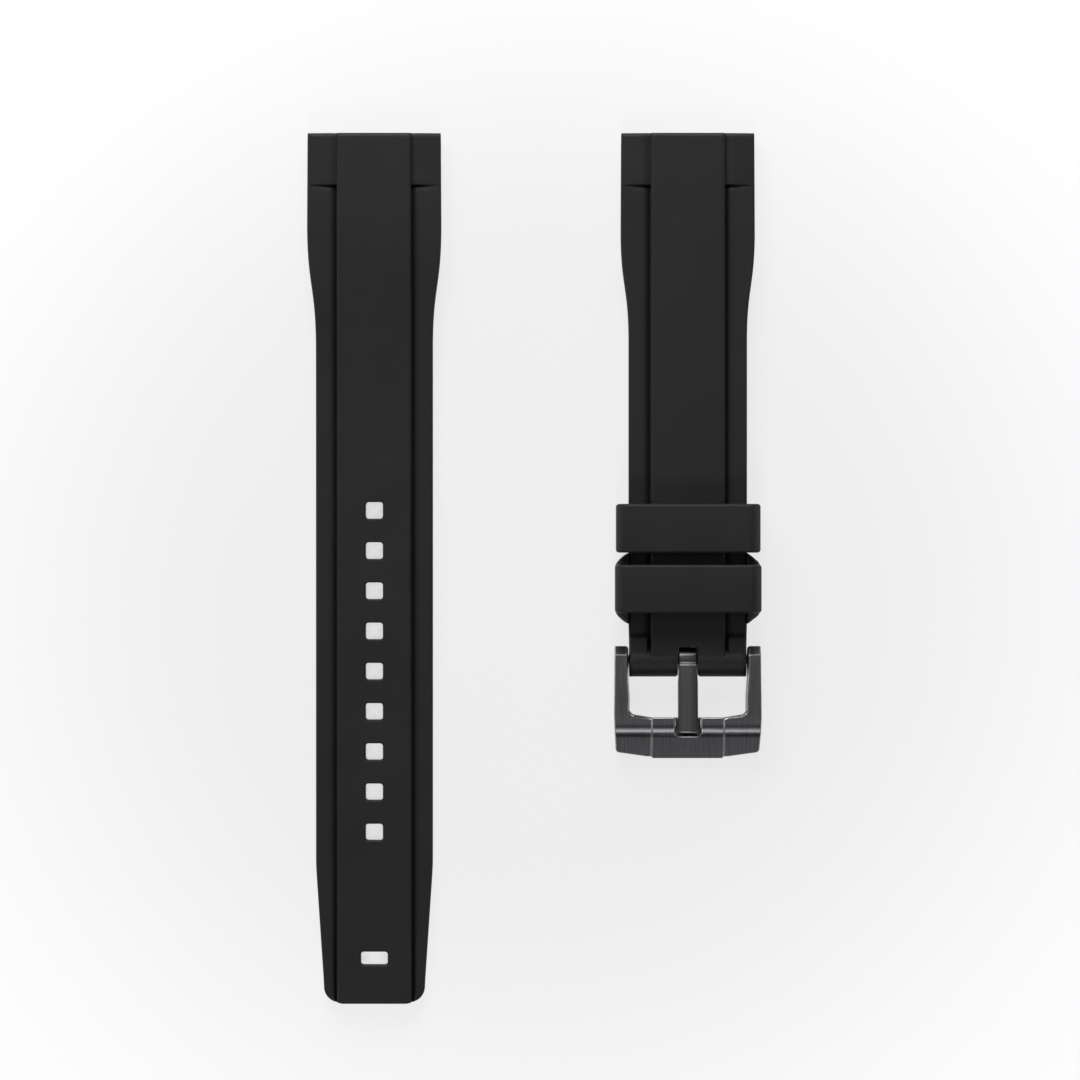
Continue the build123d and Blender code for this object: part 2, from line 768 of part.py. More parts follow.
def make_bar_spring():
    """The coil spring inside the tube, which pushes both pins apart."""
    head_start = pin_stations()[0]
    reach = head_start - spring_seat_gap - spring_wire_radius
    radius = bar_tube_radius - bar_tube_wall - bar_running_clearance - spring_wire_radius
    path = Wire(coil_arcs(-reach, reach, radius, spring_turns))
    start_plane = Plane(origin=path @ 0, z_dir=path % 0)
    coil = sweep(start_plane * RegularPolygon(spring_wire_radius, spring_wire_sides), path=path)
    return Pos(0, -hinge_distance, hinge_height) * coil


left_extent = flare_width / 2
right_extent = frame_width / 2
total_width = left_extent + half_spacing + right_extent
tail_place = Pos(left_extent - total_width / 2, tail_length / 2, 0)
buckle_place = Pos(total_width / 2 - right_extent, tail_length / 2, 0)

nodes = {
    "tail_strap": tail_place * make_tail_strap(),
    "buckle_strap": buckle_place * make_buckle_strap(),
    "floating_keeper": buckle_place * make_floating_keeper(),
    "fixed_keeper": buckle_place * make_fixed_keeper(),
    "buckle_frame": buckle_place * make_buckle_frame(),
    "tongue": buckle_place * make_tongue(),
    "spring_bar_tube": buckle_place * make_bar_tube(),
    "spring_bar_pin_left": buckle_place * make_bar_pin(-1),
    "spring_bar_pin_right": buckle_place * make_bar_pin(1),
    "spring_bar_spring": buckle_place * make_bar_spring(),
}

os.makedirs("parts", exist_ok=True)
for name, shape in nodes.items():
    export_step(shape, f"parts/{name}.step")
    box = shape.bounding_box()
    print(f"{name}: volume {shape.volume:.3f}, x {box.min.X:.3f} to {box.max.X:.3f},"
          f" y {box.min.Y:.3f} to {box.max.Y:.3f}, z {box.min.Z:.3f} to {box.max.Z:.3f}")
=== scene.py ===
import bmesh
import bpy
import numpy as np
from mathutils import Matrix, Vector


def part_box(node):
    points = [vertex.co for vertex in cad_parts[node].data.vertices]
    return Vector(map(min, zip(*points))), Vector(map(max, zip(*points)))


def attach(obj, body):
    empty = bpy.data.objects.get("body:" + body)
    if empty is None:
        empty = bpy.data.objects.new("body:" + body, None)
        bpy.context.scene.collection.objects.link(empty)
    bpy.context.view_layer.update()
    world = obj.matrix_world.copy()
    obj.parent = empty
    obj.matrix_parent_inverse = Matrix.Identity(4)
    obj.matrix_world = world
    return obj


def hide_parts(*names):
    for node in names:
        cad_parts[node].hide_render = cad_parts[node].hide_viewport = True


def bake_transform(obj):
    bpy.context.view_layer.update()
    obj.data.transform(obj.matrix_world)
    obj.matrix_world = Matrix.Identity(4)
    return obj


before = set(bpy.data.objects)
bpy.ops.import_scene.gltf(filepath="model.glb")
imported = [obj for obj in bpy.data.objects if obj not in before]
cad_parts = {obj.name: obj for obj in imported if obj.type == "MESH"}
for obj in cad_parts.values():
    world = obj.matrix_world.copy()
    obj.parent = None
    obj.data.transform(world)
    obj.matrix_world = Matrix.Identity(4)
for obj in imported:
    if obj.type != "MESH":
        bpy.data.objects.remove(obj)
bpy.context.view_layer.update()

# Camera. The strap is seen straight from above through a long lens, so that the tall keepers don't lean.
# The photograph shows 6.65 pixels to the millimetre at the height of the rubber's face.
mm = 0.001
photo_side_px = 1080
photo_px_per_mm = 6.65
view_side = photo_side_px / photo_px_per_mm * mm
view_centre = (0.86 * mm, 4.32 * mm)
view_plane = 3.0 * mm
long_lens = 200
camera_data = bpy.data.cameras.new("overhead_camera")
camera_data.lens = long_lens
camera_data.sensor_width = 36
camera_distance = view_side * camera_data.lens / camera_data.sensor_width
camera_data.clip_start = camera_distance / 100
camera_data.clip_end = camera_distance * 20
camera = bpy.data.objects.new("overhead_camera", camera_data)
camera.location = (*view_centre, view_plane + camera_distance)
bpy.context.scene.collection.objects.link(camera)
bpy.context.scene.camera = camera
bpy.context.scene.view_settings.view_transform = "Standard"


# Tail half: the long strap, one moulding of black fluorocarbon rubber. A raised band runs down its middle
# between two lower flanges, and is pierced by nine square adjustment holes and one wide slot near the tapered
# tip. At the watch end the flanges step up to two blocks, and a bore runs across for the watch's spring bar.

def linear(hex_colour):
    """An sRGB hex colour as linear RGBA."""
    values = np.array([int(hex_colour[i:i + 2], 16) for i in (1, 3, 5)]) / 255
    values = np.where(values <= 0.04045, values / 12.92, ((values + 0.055) / 1.055) ** 2.4)
    return (*values.tolist(), 1.0)


def add_node(tree, kind, inputs=(), **settings):
    """A node with its settings. Each input is a plain value or another node's output socket."""
    node = tree.nodes.new(kind)
    for name, value in settings.items():
        setattr(node, name, value)
    for name, value in dict(inputs).items():
        if isinstance(value, bpy.types.NodeSocket):
            tree.links.new(value, node.inputs[name])
        else:
            node.inputs[name].default_value = value
    return node


def new_material(name):
    """An empty node material, its tree and its output node."""
    material = bpy.data.materials.new(name)
    material.use_nodes = True
    material.node_tree.nodes.clear()
    return material, material.node_tree, add_node(material.node_tree, "ShaderNodeOutputMaterial")


def quarter(steps):
    """Angles from nothing to a quarter turn in equal steps."""
    return np.linspace(0, np.pi / 2, steps + 1)


def s_curve(s, start, end, before, after):
    """A size that turns from before to after between two stations, along a cubic whose two handles stand half
    way between them, so that it leaves and arrives level and is steepest in the middle."""
    t = np.linspace(0, 1, 201)
    share = np.interp((s - start) / (end - start), 1.5 * t * (1 - t) + t**3, t)
    return before + (after - before) * share**2 * (3 - 2 * share)


def rounded_end(distance, level, radius):
    """Height of a rounded end: a quarter circle up to the level over one radius from the end."""
    return level - radius + np.sqrt(radius**2 - np.clip(radius - distance, 0, radius) ** 2)


def higher_of(first, second, softness):
    """The higher of two heights, with their meeting softened: half of their sum and of a hyperbola of their
    gap."""
    return (first + second + np.sqrt((first - second) ** 2 + softness**2)) / 2


def spaced(start, end, pitch):
    """Stations between two others, about one pitch apart, without the two ends."""
    return np.linspace(start, end, max(int(np.ceil(abs(end - start) / pitch)), 1) + 1)[1:-1]


def step_rows(place, radius):
    """Stations over a step across the strap and the share of the step passed at each: a rounded brow, a steep
    wall of a few hundredths of a millimetre and a rounded foot."""
    wall_run, brow_share, foot_share = 0.04, 0.3, 0.25
    angle = quarter(3)
    brow = place - radius * (1 - np.sin(angle))
    foot = place + wall_run + radius * (1 - np.cos(angle))
    passed = np.concatenate([brow_share * (1 - np.cos(angle)), 1 - foot_share * (1 - np.sin(angle))])
    return np.concatenate([brow, foot]), passed


hair = 0.001


def joined_solid(name, grids, caps):
    """One closed mesh from grids of points in millimetres whose borders meet, and from flat caps that close a
    loop of points. Points within a hair are joined, and the faces are turned to point outwards."""
    points = []
    faces = []
    start = 0
    for grid in grids:
        rows, columns = grid.shape[:2]
        number = start + np.arange(rows * columns).reshape(rows, columns)
        quads = np.stack([number[:-1, :-1], number[1:, :-1], number[1:, 1:], number[:-1, 1:]], axis=-1)
        faces += quads.reshape(-1, 4).tolist()
        points.append(grid.reshape(-1, 3))
        start += rows * columns
    for loop in caps:
        faces.append(list(range(start, start + len(loop))))
        points.append(loop)
        start += len(loop)
    mesh = bpy.data.meshes.new(name)
    mesh.from_pydata((np.concatenate(points) * mm).tolist(), [], faces)
    work = bmesh.new()
    work.from_mesh(mesh)
    bmesh.ops.remove_doubles(work, verts=work.verts, dist=hair * mm)
    bmesh.ops.dissolve_degenerate(work, edges=work.edges, dist=hair * mm)
    bmesh.ops.recalc_face_normals(work, faces=work.faces)
    work.to_mesh(mesh)
    work.free()
    piece = bpy.data.objects.new(name, mesh)
    bpy.context.scene.collection.objects.link(piece)
    return piece


def crisp(piece, degrees):
    """Smooth shading, with the edges that turn by more than the angle kept sharp."""
    piece.data.shade_smooth()
    piece.data.set_sharp_from_angle(angle=np.radians(degrees))


def bored(piece, radius, x, y, z, reach):
    """The piece with a round bore cut across it along X, about a point."""
    turn = np.linspace(0, 2 * np.pi, 65)
    ring = np.stack([np.full_like(turn, x), y + radius * np.cos(turn), z + radius * np.sin(turn)], axis=-1)
    ends = [ring + np.array([side * reach, 0, 0]) for side in (-1, 1)]
    cutter = joined_solid("bore_cutter", [np.stack(ends)], [end[:-1] for end in ends])
    cut = piece.modifiers.new("bore", "BOOLEAN")
    cut.object = cutter
    cut.solver = "EXACT"
    result = bpy.data.meshes.new_from_object(piece.evaluated_get(bpy.context.evaluated_depsgraph_get()))
    piece.modifiers.clear()
    piece.data = result
    bpy.data.objects.remove(cutter)


def rounded_ring(half_n, half_t, radius, arc_steps, run_steps):
    """A closed rounded rectangle from the middle of one corner's arc, anticlockwise, with half sizes along
    its first and second axis. Rings of the same steps match point for point."""
    arc = np.linspace(-np.pi / 4, 0, arc_steps + 1)
    sides = []
    for turn, (normal, tangent) in enumerate([(half_n, half_t), (half_t, half_n)] * 2):
        run = np.linspace(radius - tangent, tangent - radius, run_steps + 1)[1:-1]
        along = np.concatenate([
            radius - tangent + radius * np.sin(arc),
            run,
            tangent - radius - radius * np.sin(arc[::-1]),
        ])
        rise = radius * np.cos(arc)
        out = normal - radius + np.concatenate([rise, np.full(len(run), radius), rise[::-1]])
        cosine, sine = [(1, 0), (0, 1), (-1, 0), (0, -1)][turn]
        sides.append(np.stack([out * cosine - along * sine, out * sine + along * cosine], axis=-1)[:-1])
    ring = np.concatenate(sides)
    return np.concatenate([ring, ring[:1]])


def box_ring(half_n, half_t, segments):
    """A plain rectangle with equal steps along each side, which matches a rounded_ring point for point."""
    share = np.linspace(-1, 1, segments + 1)[:-1]
    full = np.ones(segments)
    ring = np.concatenate([
        np.stack([full * half_n, share * half_t], axis=-1),
        np.stack([-share * half_n, full * half_t], axis=-1),
        np.stack([-full * half_n, -share * half_t], axis=-1),
        np.stack([share * half_n, -full * half_t], axis=-1),
    ])
    return np.concatenate([ring, ring[:1]])


def strap_side(s, strip_half, band_half, gutter_width, half_width, heights, edge_radius):
    """One side of a strap: a profile carried along its stations, from the border of the middle strip over the
    band's rounded edge, down its wall and cove to its foot, up a gutter's parabola and over a rim to the land
    beyond, over the outer edge and back underneath. heights are those of the band, the foot, the gutter's far
    side, the land, the outer edge and the underside. Each radius shrinks to a share of its room where the
    flange is narrow or low."""
    band_top, foot, gutter_top, land, outer_top, underside = heights
    room = half_width - band_half
    band_radius = np.minimum(band_edge_radius, 0.6 * (band_top - foot))
    cove = np.minimum(np.minimum(flange_cove_radius, 0.2 * room), 0.3 * (band_top - foot))
    rim = np.minimum(gutter_rim_radius, 0.1 * room)
    rim_rise = np.minimum(rim, land - gutter_top)
    top_radius = np.minimum(np.minimum(edge_radius, 0.35 * room), 0.45 * (outer_top - underside))
    low_radius = np.minimum(flange_edge_radius, 0.45 * (outer_top - underside))
    flat_end = band_half - band_radius
    gutter_end = band_half + np.minimum(gutter_width, 0.4 * room)
    land_end = half_width - top_radius
    wall_top = outer_top - top_radius
    wall_low = underside + low_radius
    low_end = half_width - low_radius
    columns = [(strip_half + (flat_end - strip_half) * share, band_top) for share in (0, 0.5, 0.94)]
    for angle in quarter(6):
        columns.append((flat_end + band_radius * np.sin(angle), band_top - band_radius * (1 - np.cos(angle))))
    for angle in quarter(3):
        columns.append((band_half + cove * (1 - np.cos(angle)), foot + cove * (1 - np.sin(angle))))
    for share in (0.2, 0.45, 0.7, 0.9, 1):
        x = band_half + cove + (gutter_end - band_half - cove) * share
        columns.append((x, gutter_top - (gutter_top - foot) * (1 - share) ** 2))
    for angle in quarter(3):
        columns.append((gutter_end + rim * (1 - np.cos(angle)), land - rim_rise * (1 - np.sin(angle))))
    for share in (0.06, 0.35, 0.65, 0.94):
        x = gutter_end + rim + (land_end - gutter_end - rim) * share
        columns.append((x, land + (outer_top - land) * share))
    for angle in quarter(6):
        columns.append((land_end + top_radius * np.sin(angle), outer_top - top_radius * (1 - np.cos(angle))))
    for share in (0.06, 0.5, 0.94):
        columns.append((half_width, wall_top + (wall_low - wall_top) * share))
    for angle in quarter(4):
        x = half_width - low_radius * (1 - np.cos(angle))
        columns.append((x, underside + low_radius * (1 - np.sin(angle))))
    for share in (0.05, 0.35, 0.7, 1):
        columns.append((low_end + (strip_half - low_end) * share, underside))
    spread = np.ones_like(s)
    across = np.stack([x * spread for x, z in columns], axis=-1)
    height = np.stack([z * spread for x, z in columns], axis=-1)
    return np.stack([across, np.repeat(s[:, None], len(columns), axis=1), height], axis=-1)


def mirrored(grid):
    """The same grid on the other side of the strap's middle line."""
    return grid * np.array([-1, 1, 1])


def middle_strip(s, x, height):
    """The strip along the middle of the strap, level across, from the columns x and a height for each
    station."""
    across, along = np.meshgrid(x, s)
    return np.stack([across, along, np.repeat(height[:, None], len(x), axis=1)], axis=-1)


def end_loop(side, strip_top, strip_low, row):
    """The loop round the strap's end: over the strip, down one side, back under it and up the other side."""
    return np.concatenate([
        strip_top[row],
        side[row, 1:],
        strip_low[row, ::-1][1:],
        mirrored(side[row])[::-1][1:-1],
    ])


def pierced_patch(centre, half_patch, half_hole, corner_radius, face, underside):
    """The patch of the middle strip round a hole: a ring of the face, the hole's rounded rim, its wall, the
    rim below and the ring of the underside. Each ring is a rounded rectangle that grows with its distance."""
    segments = 2 * hole_arc_steps + hole_run_steps
    outer = box_ring(*half_patch, segments)
    stack = []
    for surface, inwards, order in ((face, -1, 1), (underside, 1, -1)):
        rings = [(outer, 0)]
        rings.append((rounded_ring(*(half_hole + hole_support), corner_radius + hole_support,
                                   hole_arc_steps, hole_run_steps), 0))
        for angle in quarter(5)[::-1]:
            distance = hole_rim_radius * (1 - np.cos(angle))
            ring = rounded_ring(*(half_hole + distance), corner_radius + distance,
                                hole_arc_steps, hole_run_steps)
            rings.append((ring, hole_rim_radius * (1 - np.sin(angle))))
        for ring, drop in rings[::order]:
            s = ring[:, 1] + centre
            stack.append(np.stack([ring[:, 0], s, surface(s) + inwards * drop], axis=-1))
    return np.stack(stack)


lug_thickness = 4.8
lug_half_width = 10.0
lug_flare = 0.075
lug_edge_radius = 0.6
lug_end_radius = 1.8
lug_bore = (0.9, 2.4, 2.3)
bore_reach = lug_half_width + 2
block_length = 7.8
block_inner_drop = 0.45
flange_drop = 0.95
band_half_width = 5.575
band_edge_radius = 0.42
flange_cove_radius = 0.2
flange_edge_radius = 0.35
flange_gutter = (1.3, 0.3)
gutter_rim_radius = 0.12
strip_segments = 12
coarse_pitch = 0.8
middle_pitch = 0.3
fine_pitch = 0.15
step_radius = 0.15
rubber_crease = 40

hole_arc_steps = 4
hole_run_steps = 4
hole_rim_radius = 0.28
hole_support = 0.36
hole_corner_radius = 0.42
half_hole = np.array([1.3, 1.25])
hole_count = 9
hole_pitch = 6.05
last_hole = 105.1
half_tip_slot = np.array([2.02, 1.0])
tip_slot_centre = 124.1
half_tip_patch = 3.0

tail_low, tail_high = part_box("tail_strap")
tail_x = (tail_low.x + tail_high.x) / 2 / mm
watch_end_y = tail_high.y / mm
tail_length = (tail_high.y - tail_low.y) / mm
tail_waist = (13.8, 32.1)
tail_half_width = 8.8
slope = (9.0, 44.0)
tail_middle_thickness = 3.1
tail_tip_thickness = 2.8
tip_taper = (110.2, 128.1)
tip_kink_softness = 0.5
tip_half_width = 7.6
least_flange = 0.03
tip_corner_radius = 2.3
tip_band_reach = 0.2
tip_band_chamfer = 0.6
tip_edge_radius = 0.3
tail_strip_half = 3.0
tip_flange_end = tail_length - tip_band_reach
block_stations, block_shares = step_rows(block_length, step_radius)
step_dip_length = 1.1
step_dip_depth = 0.42


def tail_top(s, drop):
    """Height of the tail's face, less a drop: level over the lugs, an S down to the tail, a slight fall to
    the tip, and rounded at both ends."""
    past_slope = np.clip((s - slope[1]) / (tail_length - slope[1]), 0, 1)
    fall = (tail_middle_thickness - tail_tip_thickness) * past_slope
    level = s_curve(s, *slope, lug_thickness, tail_middle_thickness) - fall - drop
    return level + rounded_end(s, 0, lug_edge_radius) + rounded_end(tail_length - s, 0, tip_edge_radius)


def tail_bottom(s):
    """Height of the tail's flat underside, which turns up at both ends."""
    return -rounded_end(s, 0, lug_end_radius) - rounded_end(tail_length - s, 0, tip_edge_radius)


def tail_outline(s):
    """Half width of the tail: it swells a little past the lugs, draws in along an S, runs straight, tapers
    from a soft kink and ends in round corners that meet the end of the band."""
    swell = lug_half_width + lug_flare * np.clip(s / tail_waist[0], 0, 1)
    half = s_curve(s, *tail_waist, swell, tail_half_width)
    past = s - tip_taper[0]
    rate = (tail_half_width - tip_half_width) / (tip_taper[1] - tip_taper[0])
    half = np.maximum(half - rate * (past + np.sqrt(past**2 + tip_kink_softness)) / 2, tip_half_width)
    depth = np.clip(s - tip_flange_end + tip_corner_radius, 0, tip_corner_radius)
    half = half - tip_corner_radius + np.sqrt(tip_corner_radius**2 - depth**2)
    return np.maximum(half, tail_band(s) + least_flange)


def tail_band(s):
    """Half width of the tail's band: straight, and chamfered where it stands past the flanges at the tip."""
    return band_half_width - tip_band_chamfer * np.clip((s - tip_flange_end) / tip_band_reach, 0, 1)


def step_dip(s):
    """Extra depth beside the band just past the lug block: a parabola that fades out along the flange."""
    share = np.clip((s - block_length) / step_dip_length, 0, 1)
    return step_dip_depth * (1 - share) ** 2 * (s > block_length)


hole_edges = last_hole + hole_pitch * (np.arange(hole_count + 1) - hole_count + 0.5)
slot_edges = tip_slot_centre + half_tip_patch * np.array([-1, 1])
corner_start = tip_flange_end - tip_corner_radius
tail_s = np.unique(np.round(np.concatenate([
    lug_end_radius * (1 - np.cos(quarter(10))),
    lug_edge_radius * (1 - np.cos(quarter(6))),
    spaced(lug_end_radius, block_stations[0], coarse_pitch),
    block_stations,
    spaced(block_stations[-1], block_length + step_dip_length, fine_pitch),
    spaced(block_length + step_dip_length, hole_edges[0], coarse_pitch),
    np.linspace(hole_edges[0], hole_edges[-1], hole_count * strip_segments + 1),
    spaced(hole_edges[-1], slot_edges[0], coarse_pitch),
    np.linspace(*slot_edges, strip_segments + 1),
    corner_start + tip_corner_radius * np.sin(quarter(12)),
    tail_length - tip_edge_radius * (1 - np.sin(quarter(6))),
]), 6))
past_block = np.interp(tail_s, block_stations, block_shares)
inner_drop = block_inner_drop + (flange_drop - block_inner_drop) * past_block + step_dip(tail_s)
tail_outer_top = tail_top(tail_s, flange_drop)
tail_foot = tail_top(tail_s, inner_drop + flange_gutter[1])
across = np.clip(flange_gutter[0] / (tail_outline(tail_s) - band_half_width), 0, 1)
tail_gutter = tail_top(tail_s, inner_drop + (flange_drop - inner_drop) * across)
tail_face = tail_top(tail_s, 0)
tail_under = tail_bottom(tail_s)
tail_side = strap_side(
    tail_s, tail_strip_half, tail_band(tail_s), flange_gutter[0], tail_outline(tail_s),
    (tail_face, tail_foot, tail_gutter, tail_gutter, tail_outer_top, tail_under), flange_edge_radius,
)
strip_x = np.linspace(-tail_strip_half, tail_strip_half, strip_segments + 1)
strip_top = middle_strip(tail_s, strip_x, tail_face)
strip_low = middle_strip(tail_s, strip_x, tail_under)
tail_grids = [tail_side, mirrored(tail_side)]
for low, high in ((0, hole_edges[0]), (hole_edges[-1], slot_edges[0]), (slot_edges[1], tail_length)):
    between = (tail_s > low - hair) & (tail_s < high + hair)
    tail_grids += [strip_top[between], strip_low[between]]
for number in range(hole_count):
    tail_grids.append(pierced_patch(
        last_hole - number * hole_pitch, (tail_strip_half, hole_pitch / 2), half_hole, hole_corner_radius,
        lambda s: tail_top(s, 0), tail_bottom,
    ))
tail_grids.append(pierced_patch(
    tip_slot_centre, (tail_strip_half, half_tip_patch), half_tip_slot, hole_corner_radius,
    lambda s: tail_top(s, 0), tail_bottom,
))


def laid_out(grid, centre_x):
    """A grid drawn by distance from the watch end, placed on its half of the strap."""
    return grid * np.array([1, -1, 1]) + np.array([centre_x, watch_end_y, 0])


tail = joined_solid(
    "tail_strap_rubber",
    [laid_out(grid, tail_x) for grid in tail_grids],
    [laid_out(end_loop(tail_side, strip_top, strip_low, row), tail_x) for row in (0, -1)],
)
bored(tail, lug_bore[0], tail_x, watch_end_y - lug_bore[1], lug_bore[2], bore_reach)
crisp(tail, rubber_crease)

# Moulded fluorocarbon rubber: a satin, almost black face that stays soft in its highlights, with painted
# shade that turns it near black deep in its creases. The mould's fine sparked texture gives it a faint grain,
# drawn at
# 0.35 mm so that it shows at all.
rubber, tree, output = new_material("moulded_fluorocarbon_rubber")
place = add_node(tree, "ShaderNodeTexCoord").outputs["Object"]
grain = add_node(tree, "ShaderNodeTexNoise", {"Vector": place, "Scale": 1 / (0.35 * mm), "Detail": 3.0})
cloud = add_node(tree, "ShaderNodeTexNoise", {"Vector": place, "Scale": 1 / (9 * mm), "Detail": 2.0})
shade = add_node(tree, "ShaderNodeMix", {
    0: cloud.outputs["Fac"], 6: linear("#1c1c1e"), 7: linear("#242426"),
}, data_type="RGBA")
# Painted shade: the face is painted near black where it is closed in within 1.8 mm, in its creases and
# recesses.
crease_shade_occlusion = add_node(tree, "ShaderNodeAmbientOcclusion", {"Distance": 1.8 * mm}, samples=8)
crease_unshaded_share = add_node(tree, "ShaderNodeMapRange", {
    "Value": crease_shade_occlusion.outputs["AO"], "From Min": 0.45, "From Max": 0.9,
})
shade = add_node(tree, "ShaderNodeMix", {
    0: crease_unshaded_share.outputs["Result"], 6: linear("#060606"), 7: shade.outputs[2],
}, data_type="RGBA")
gloss = add_node(tree, "ShaderNodeMapRange", {"Value": grain.outputs["Fac"], "To Min": 0.48, "To Max": 0.6})
relief = add_node(tree, "ShaderNodeBump", {
    "Height": grain.outputs["Fac"], "Strength": 0.12, "Distance": 0.03 * mm,
})
face = add_node(tree, "ShaderNodeBsdfPrincipled", {
    "Base Color": shade.outputs[2],
    "Roughness": gloss.outputs["Result"],
    "Normal": relief.outputs["Normal"],
    "IOR": 1.42,
    "Specular IOR Level": 0.2,
})
tree.links.new(face.outputs["BSDF"], output.inputs["Surface"])
tail.data.materials.append(rubber)
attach(tail, "tail_half")
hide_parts("tail_strap")


# Buckle half: the short strap, moulded like the tail. Its underside rises towards the buckle, and it ends in
# a roll round the buckle's spring bar, with a slot for the tongue and a block either side of the band.

def roll_offset(s):
    """Half height of the roll at a station: a circle about the roll's centre, from its crest to the end."""
    out = np.clip(s - roll_centre, -roll_radius, roll_radius)
    return np.sqrt(np.clip(roll_radius**2 - out**2, 0, None))


def buckle_top(s, drop):
    """Height of the buckle half's face, less a drop: level, an S of a tenth of a millimetre down to the
    buckle's end, and the roll's circle where that stands higher or past its crest. Below the band the two
    meet softly."""
    level = s_curve(s, *slope, lug_thickness, buckle_band_top) - drop + rounded_end(s, 0, lug_edge_radius)
    circle = hinge_height + roll_offset(s)
    return np.where(s > roll_centre, circle, higher_of(level, circle, roll_softness * np.sign(drop)))


def buckle_bottom(s):
    """Height of the buckle half's underside: on the table, an S up to the keepers, down under the roll and up
    round its end."""
    rise = s_curve(s, *underside_rise, 0, underside_height) - rounded_end(s, 0, lug_end_radius)
    ramp = s_curve(s, roll_ramp_start, roll_centre, underside_height, hinge_height - roll_radius)
    return np.where(s > roll_centre, hinge_height - roll_offset(s), np.where(s > roll_ramp_start, ramp, rise))


def buckle_outline(s):
    """Half width of the buckle half: the lugs' swell, an S to the straight, and a hair narrower at the
    arms."""
    swell = lug_half_width + lug_flare * np.clip(s / buckle_waist[0], 0, 1)
    half = s_curve(s, *buckle_waist, swell, buckle_half_width)
    return half - roll_side_relief * np.clip((s - fixed_keeper_end) / (arm_end - fixed_keeper_end), 0, 1)


def slot_half(s):
    """Half width of the tongue's slot, which flares at its mouth."""
    return tongue_slot_half + np.clip(s - roll_end + slot_mouth_flare, 0, slot_mouth_flare)


buckle_low, buckle_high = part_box("buckle_strap")
buckle_x = (buckle_low.x + buckle_high.x) / 2 / mm
roll_end = (buckle_high.y - buckle_low.y) / mm
hinge_height = 2.6
hinge_distance = 79.1
roll_radius = 2.25
roll_centre = roll_end - roll_radius
roll_softness = 0.1
roll_pitch = 0.2
roll_stop = 88
roll_side_relief = 0.1
roll_ramp_start = 73.9
roll_block_start = 75.7
roll_block_drop = 0.2
roll_block_edge = 0.6
roll_groove_width = 0.55
arm_reach = 2.0
arm_end = hinge_distance - arm_reach
fixed_keeper_end = 73.75
buckle_waist = (14.8, 31.3)
buckle_half_width = 8.9
buckle_band_top = 4.7
underside_rise = (12.0, 30.0)
underside_height = 1.5
bar_bore_radius = 0.8
tongue_slot_half = 1.5
tongue_slot_start = 77.2
slot_corner = 0.25
slot_mouth_flare = 0.3
slot_rim = 0.15
slot_border = slot_corner + slot_rim
roll_block_stations, roll_block_shares = step_rows(roll_block_start, step_radius)
slot_straight_start = tongue_slot_start + slot_corner
slot_border_s = slot_straight_start - slot_border * np.linspace(0, 1, 4)
buckle_s = np.unique(np.round(np.concatenate([
    lug_end_radius * (1 - np.cos(quarter(10))),
    lug_edge_radius * (1 - np.cos(quarter(6))),
    spaced(lug_end_radius, block_stations[0], coarse_pitch),
    block_stations,
    spaced(block_stations[-1], block_length + step_dip_length, fine_pitch),
    spaced(block_length + step_dip_length, roll_ramp_start, coarse_pitch),
    np.array([roll_ramp_start]),
    spaced(roll_ramp_start, roll_block_stations[0], middle_pitch),
    roll_block_stations,
    spaced(roll_block_stations[-1], slot_border_s[-1], roll_pitch),
    slot_border_s,
    spaced(slot_straight_start, roll_centre, fine_pitch),
    roll_centre + roll_radius * np.sin(np.linspace(0, np.radians(roll_stop), 24)),
]), 6))
past_block = np.interp(buckle_s, block_stations, block_shares)
on_roll_block = np.interp(buckle_s, roll_block_stations, roll_block_shares)
inner_drop = block_inner_drop + (flange_drop - block_inner_drop) * past_block + step_dip(buckle_s)
buckle_half = buckle_outline(buckle_s)
buckle_outer = buckle_top(buckle_s, flange_drop + (roll_block_drop - flange_drop) * on_roll_block)
buckle_foot = buckle_top(buckle_s, inner_drop + flange_gutter[1])
across = flange_gutter[0] / (buckle_half - band_half_width)
buckle_gutter = buckle_top(buckle_s, inner_drop + (flange_drop - inner_drop) * across)
buckle_land = np.where(on_roll_block > 0, buckle_outer, buckle_gutter)
buckle_face = buckle_top(buckle_s, 0)
buckle_under = buckle_bottom(buckle_s)
strip_border = np.where(buckle_s < slot_straight_start, tongue_slot_half, slot_half(buckle_s)) + slot_rim
buckle_side = strap_side(
    buckle_s, strip_border, band_half_width,
    flange_gutter[0] + (roll_groove_width - flange_gutter[0]) * (on_roll_block > 0), buckle_half,
    (buckle_face, buckle_foot, buckle_gutter, buckle_land, buckle_outer, buckle_under),
    flange_edge_radius + (roll_block_edge - flange_edge_radius) * on_roll_block,
)
border_x = tongue_slot_half + slot_rim - slot_border * np.linspace(0, 1, 4)
strip_x = np.concatenate([-border_x, spaced(-border_x[-1], border_x[-1], middle_pitch), border_x[::-1]])
before_slot = buckle_s < slot_border_s[-1] + hair
strip_top = middle_strip(buckle_s, strip_x, buckle_face)
strip_low = middle_strip(buckle_s, strip_x, buckle_under)
slot_runs = buckle_s[buckle_s > slot_straight_start - hair][::-1]


def slot_path(distance):
    """The tongue slot's edge in plan, moved outwards by a distance: in along one side, round a corner, across
    the end, round the other corner and out again."""
    side = np.stack([slot_half(slot_runs) + distance, slot_runs], axis=-1)
    turn = quarter(6)[1:]
    centre = (tongue_slot_half - slot_corner, slot_straight_start)
    radius = slot_corner + distance
    corner = np.stack([centre[0] + radius * np.cos(turn), centre[1] - radius * np.sin(turn)], axis=-1)
    across = spaced(centre[0], -centre[0], middle_pitch)
    end = np.stack([across, np.full(len(across), tongue_slot_start - distance)], axis=-1)
    half = np.concatenate([side, corner])
    return np.concatenate([half, end, (half * np.array([-1, 1]))[::-1]])


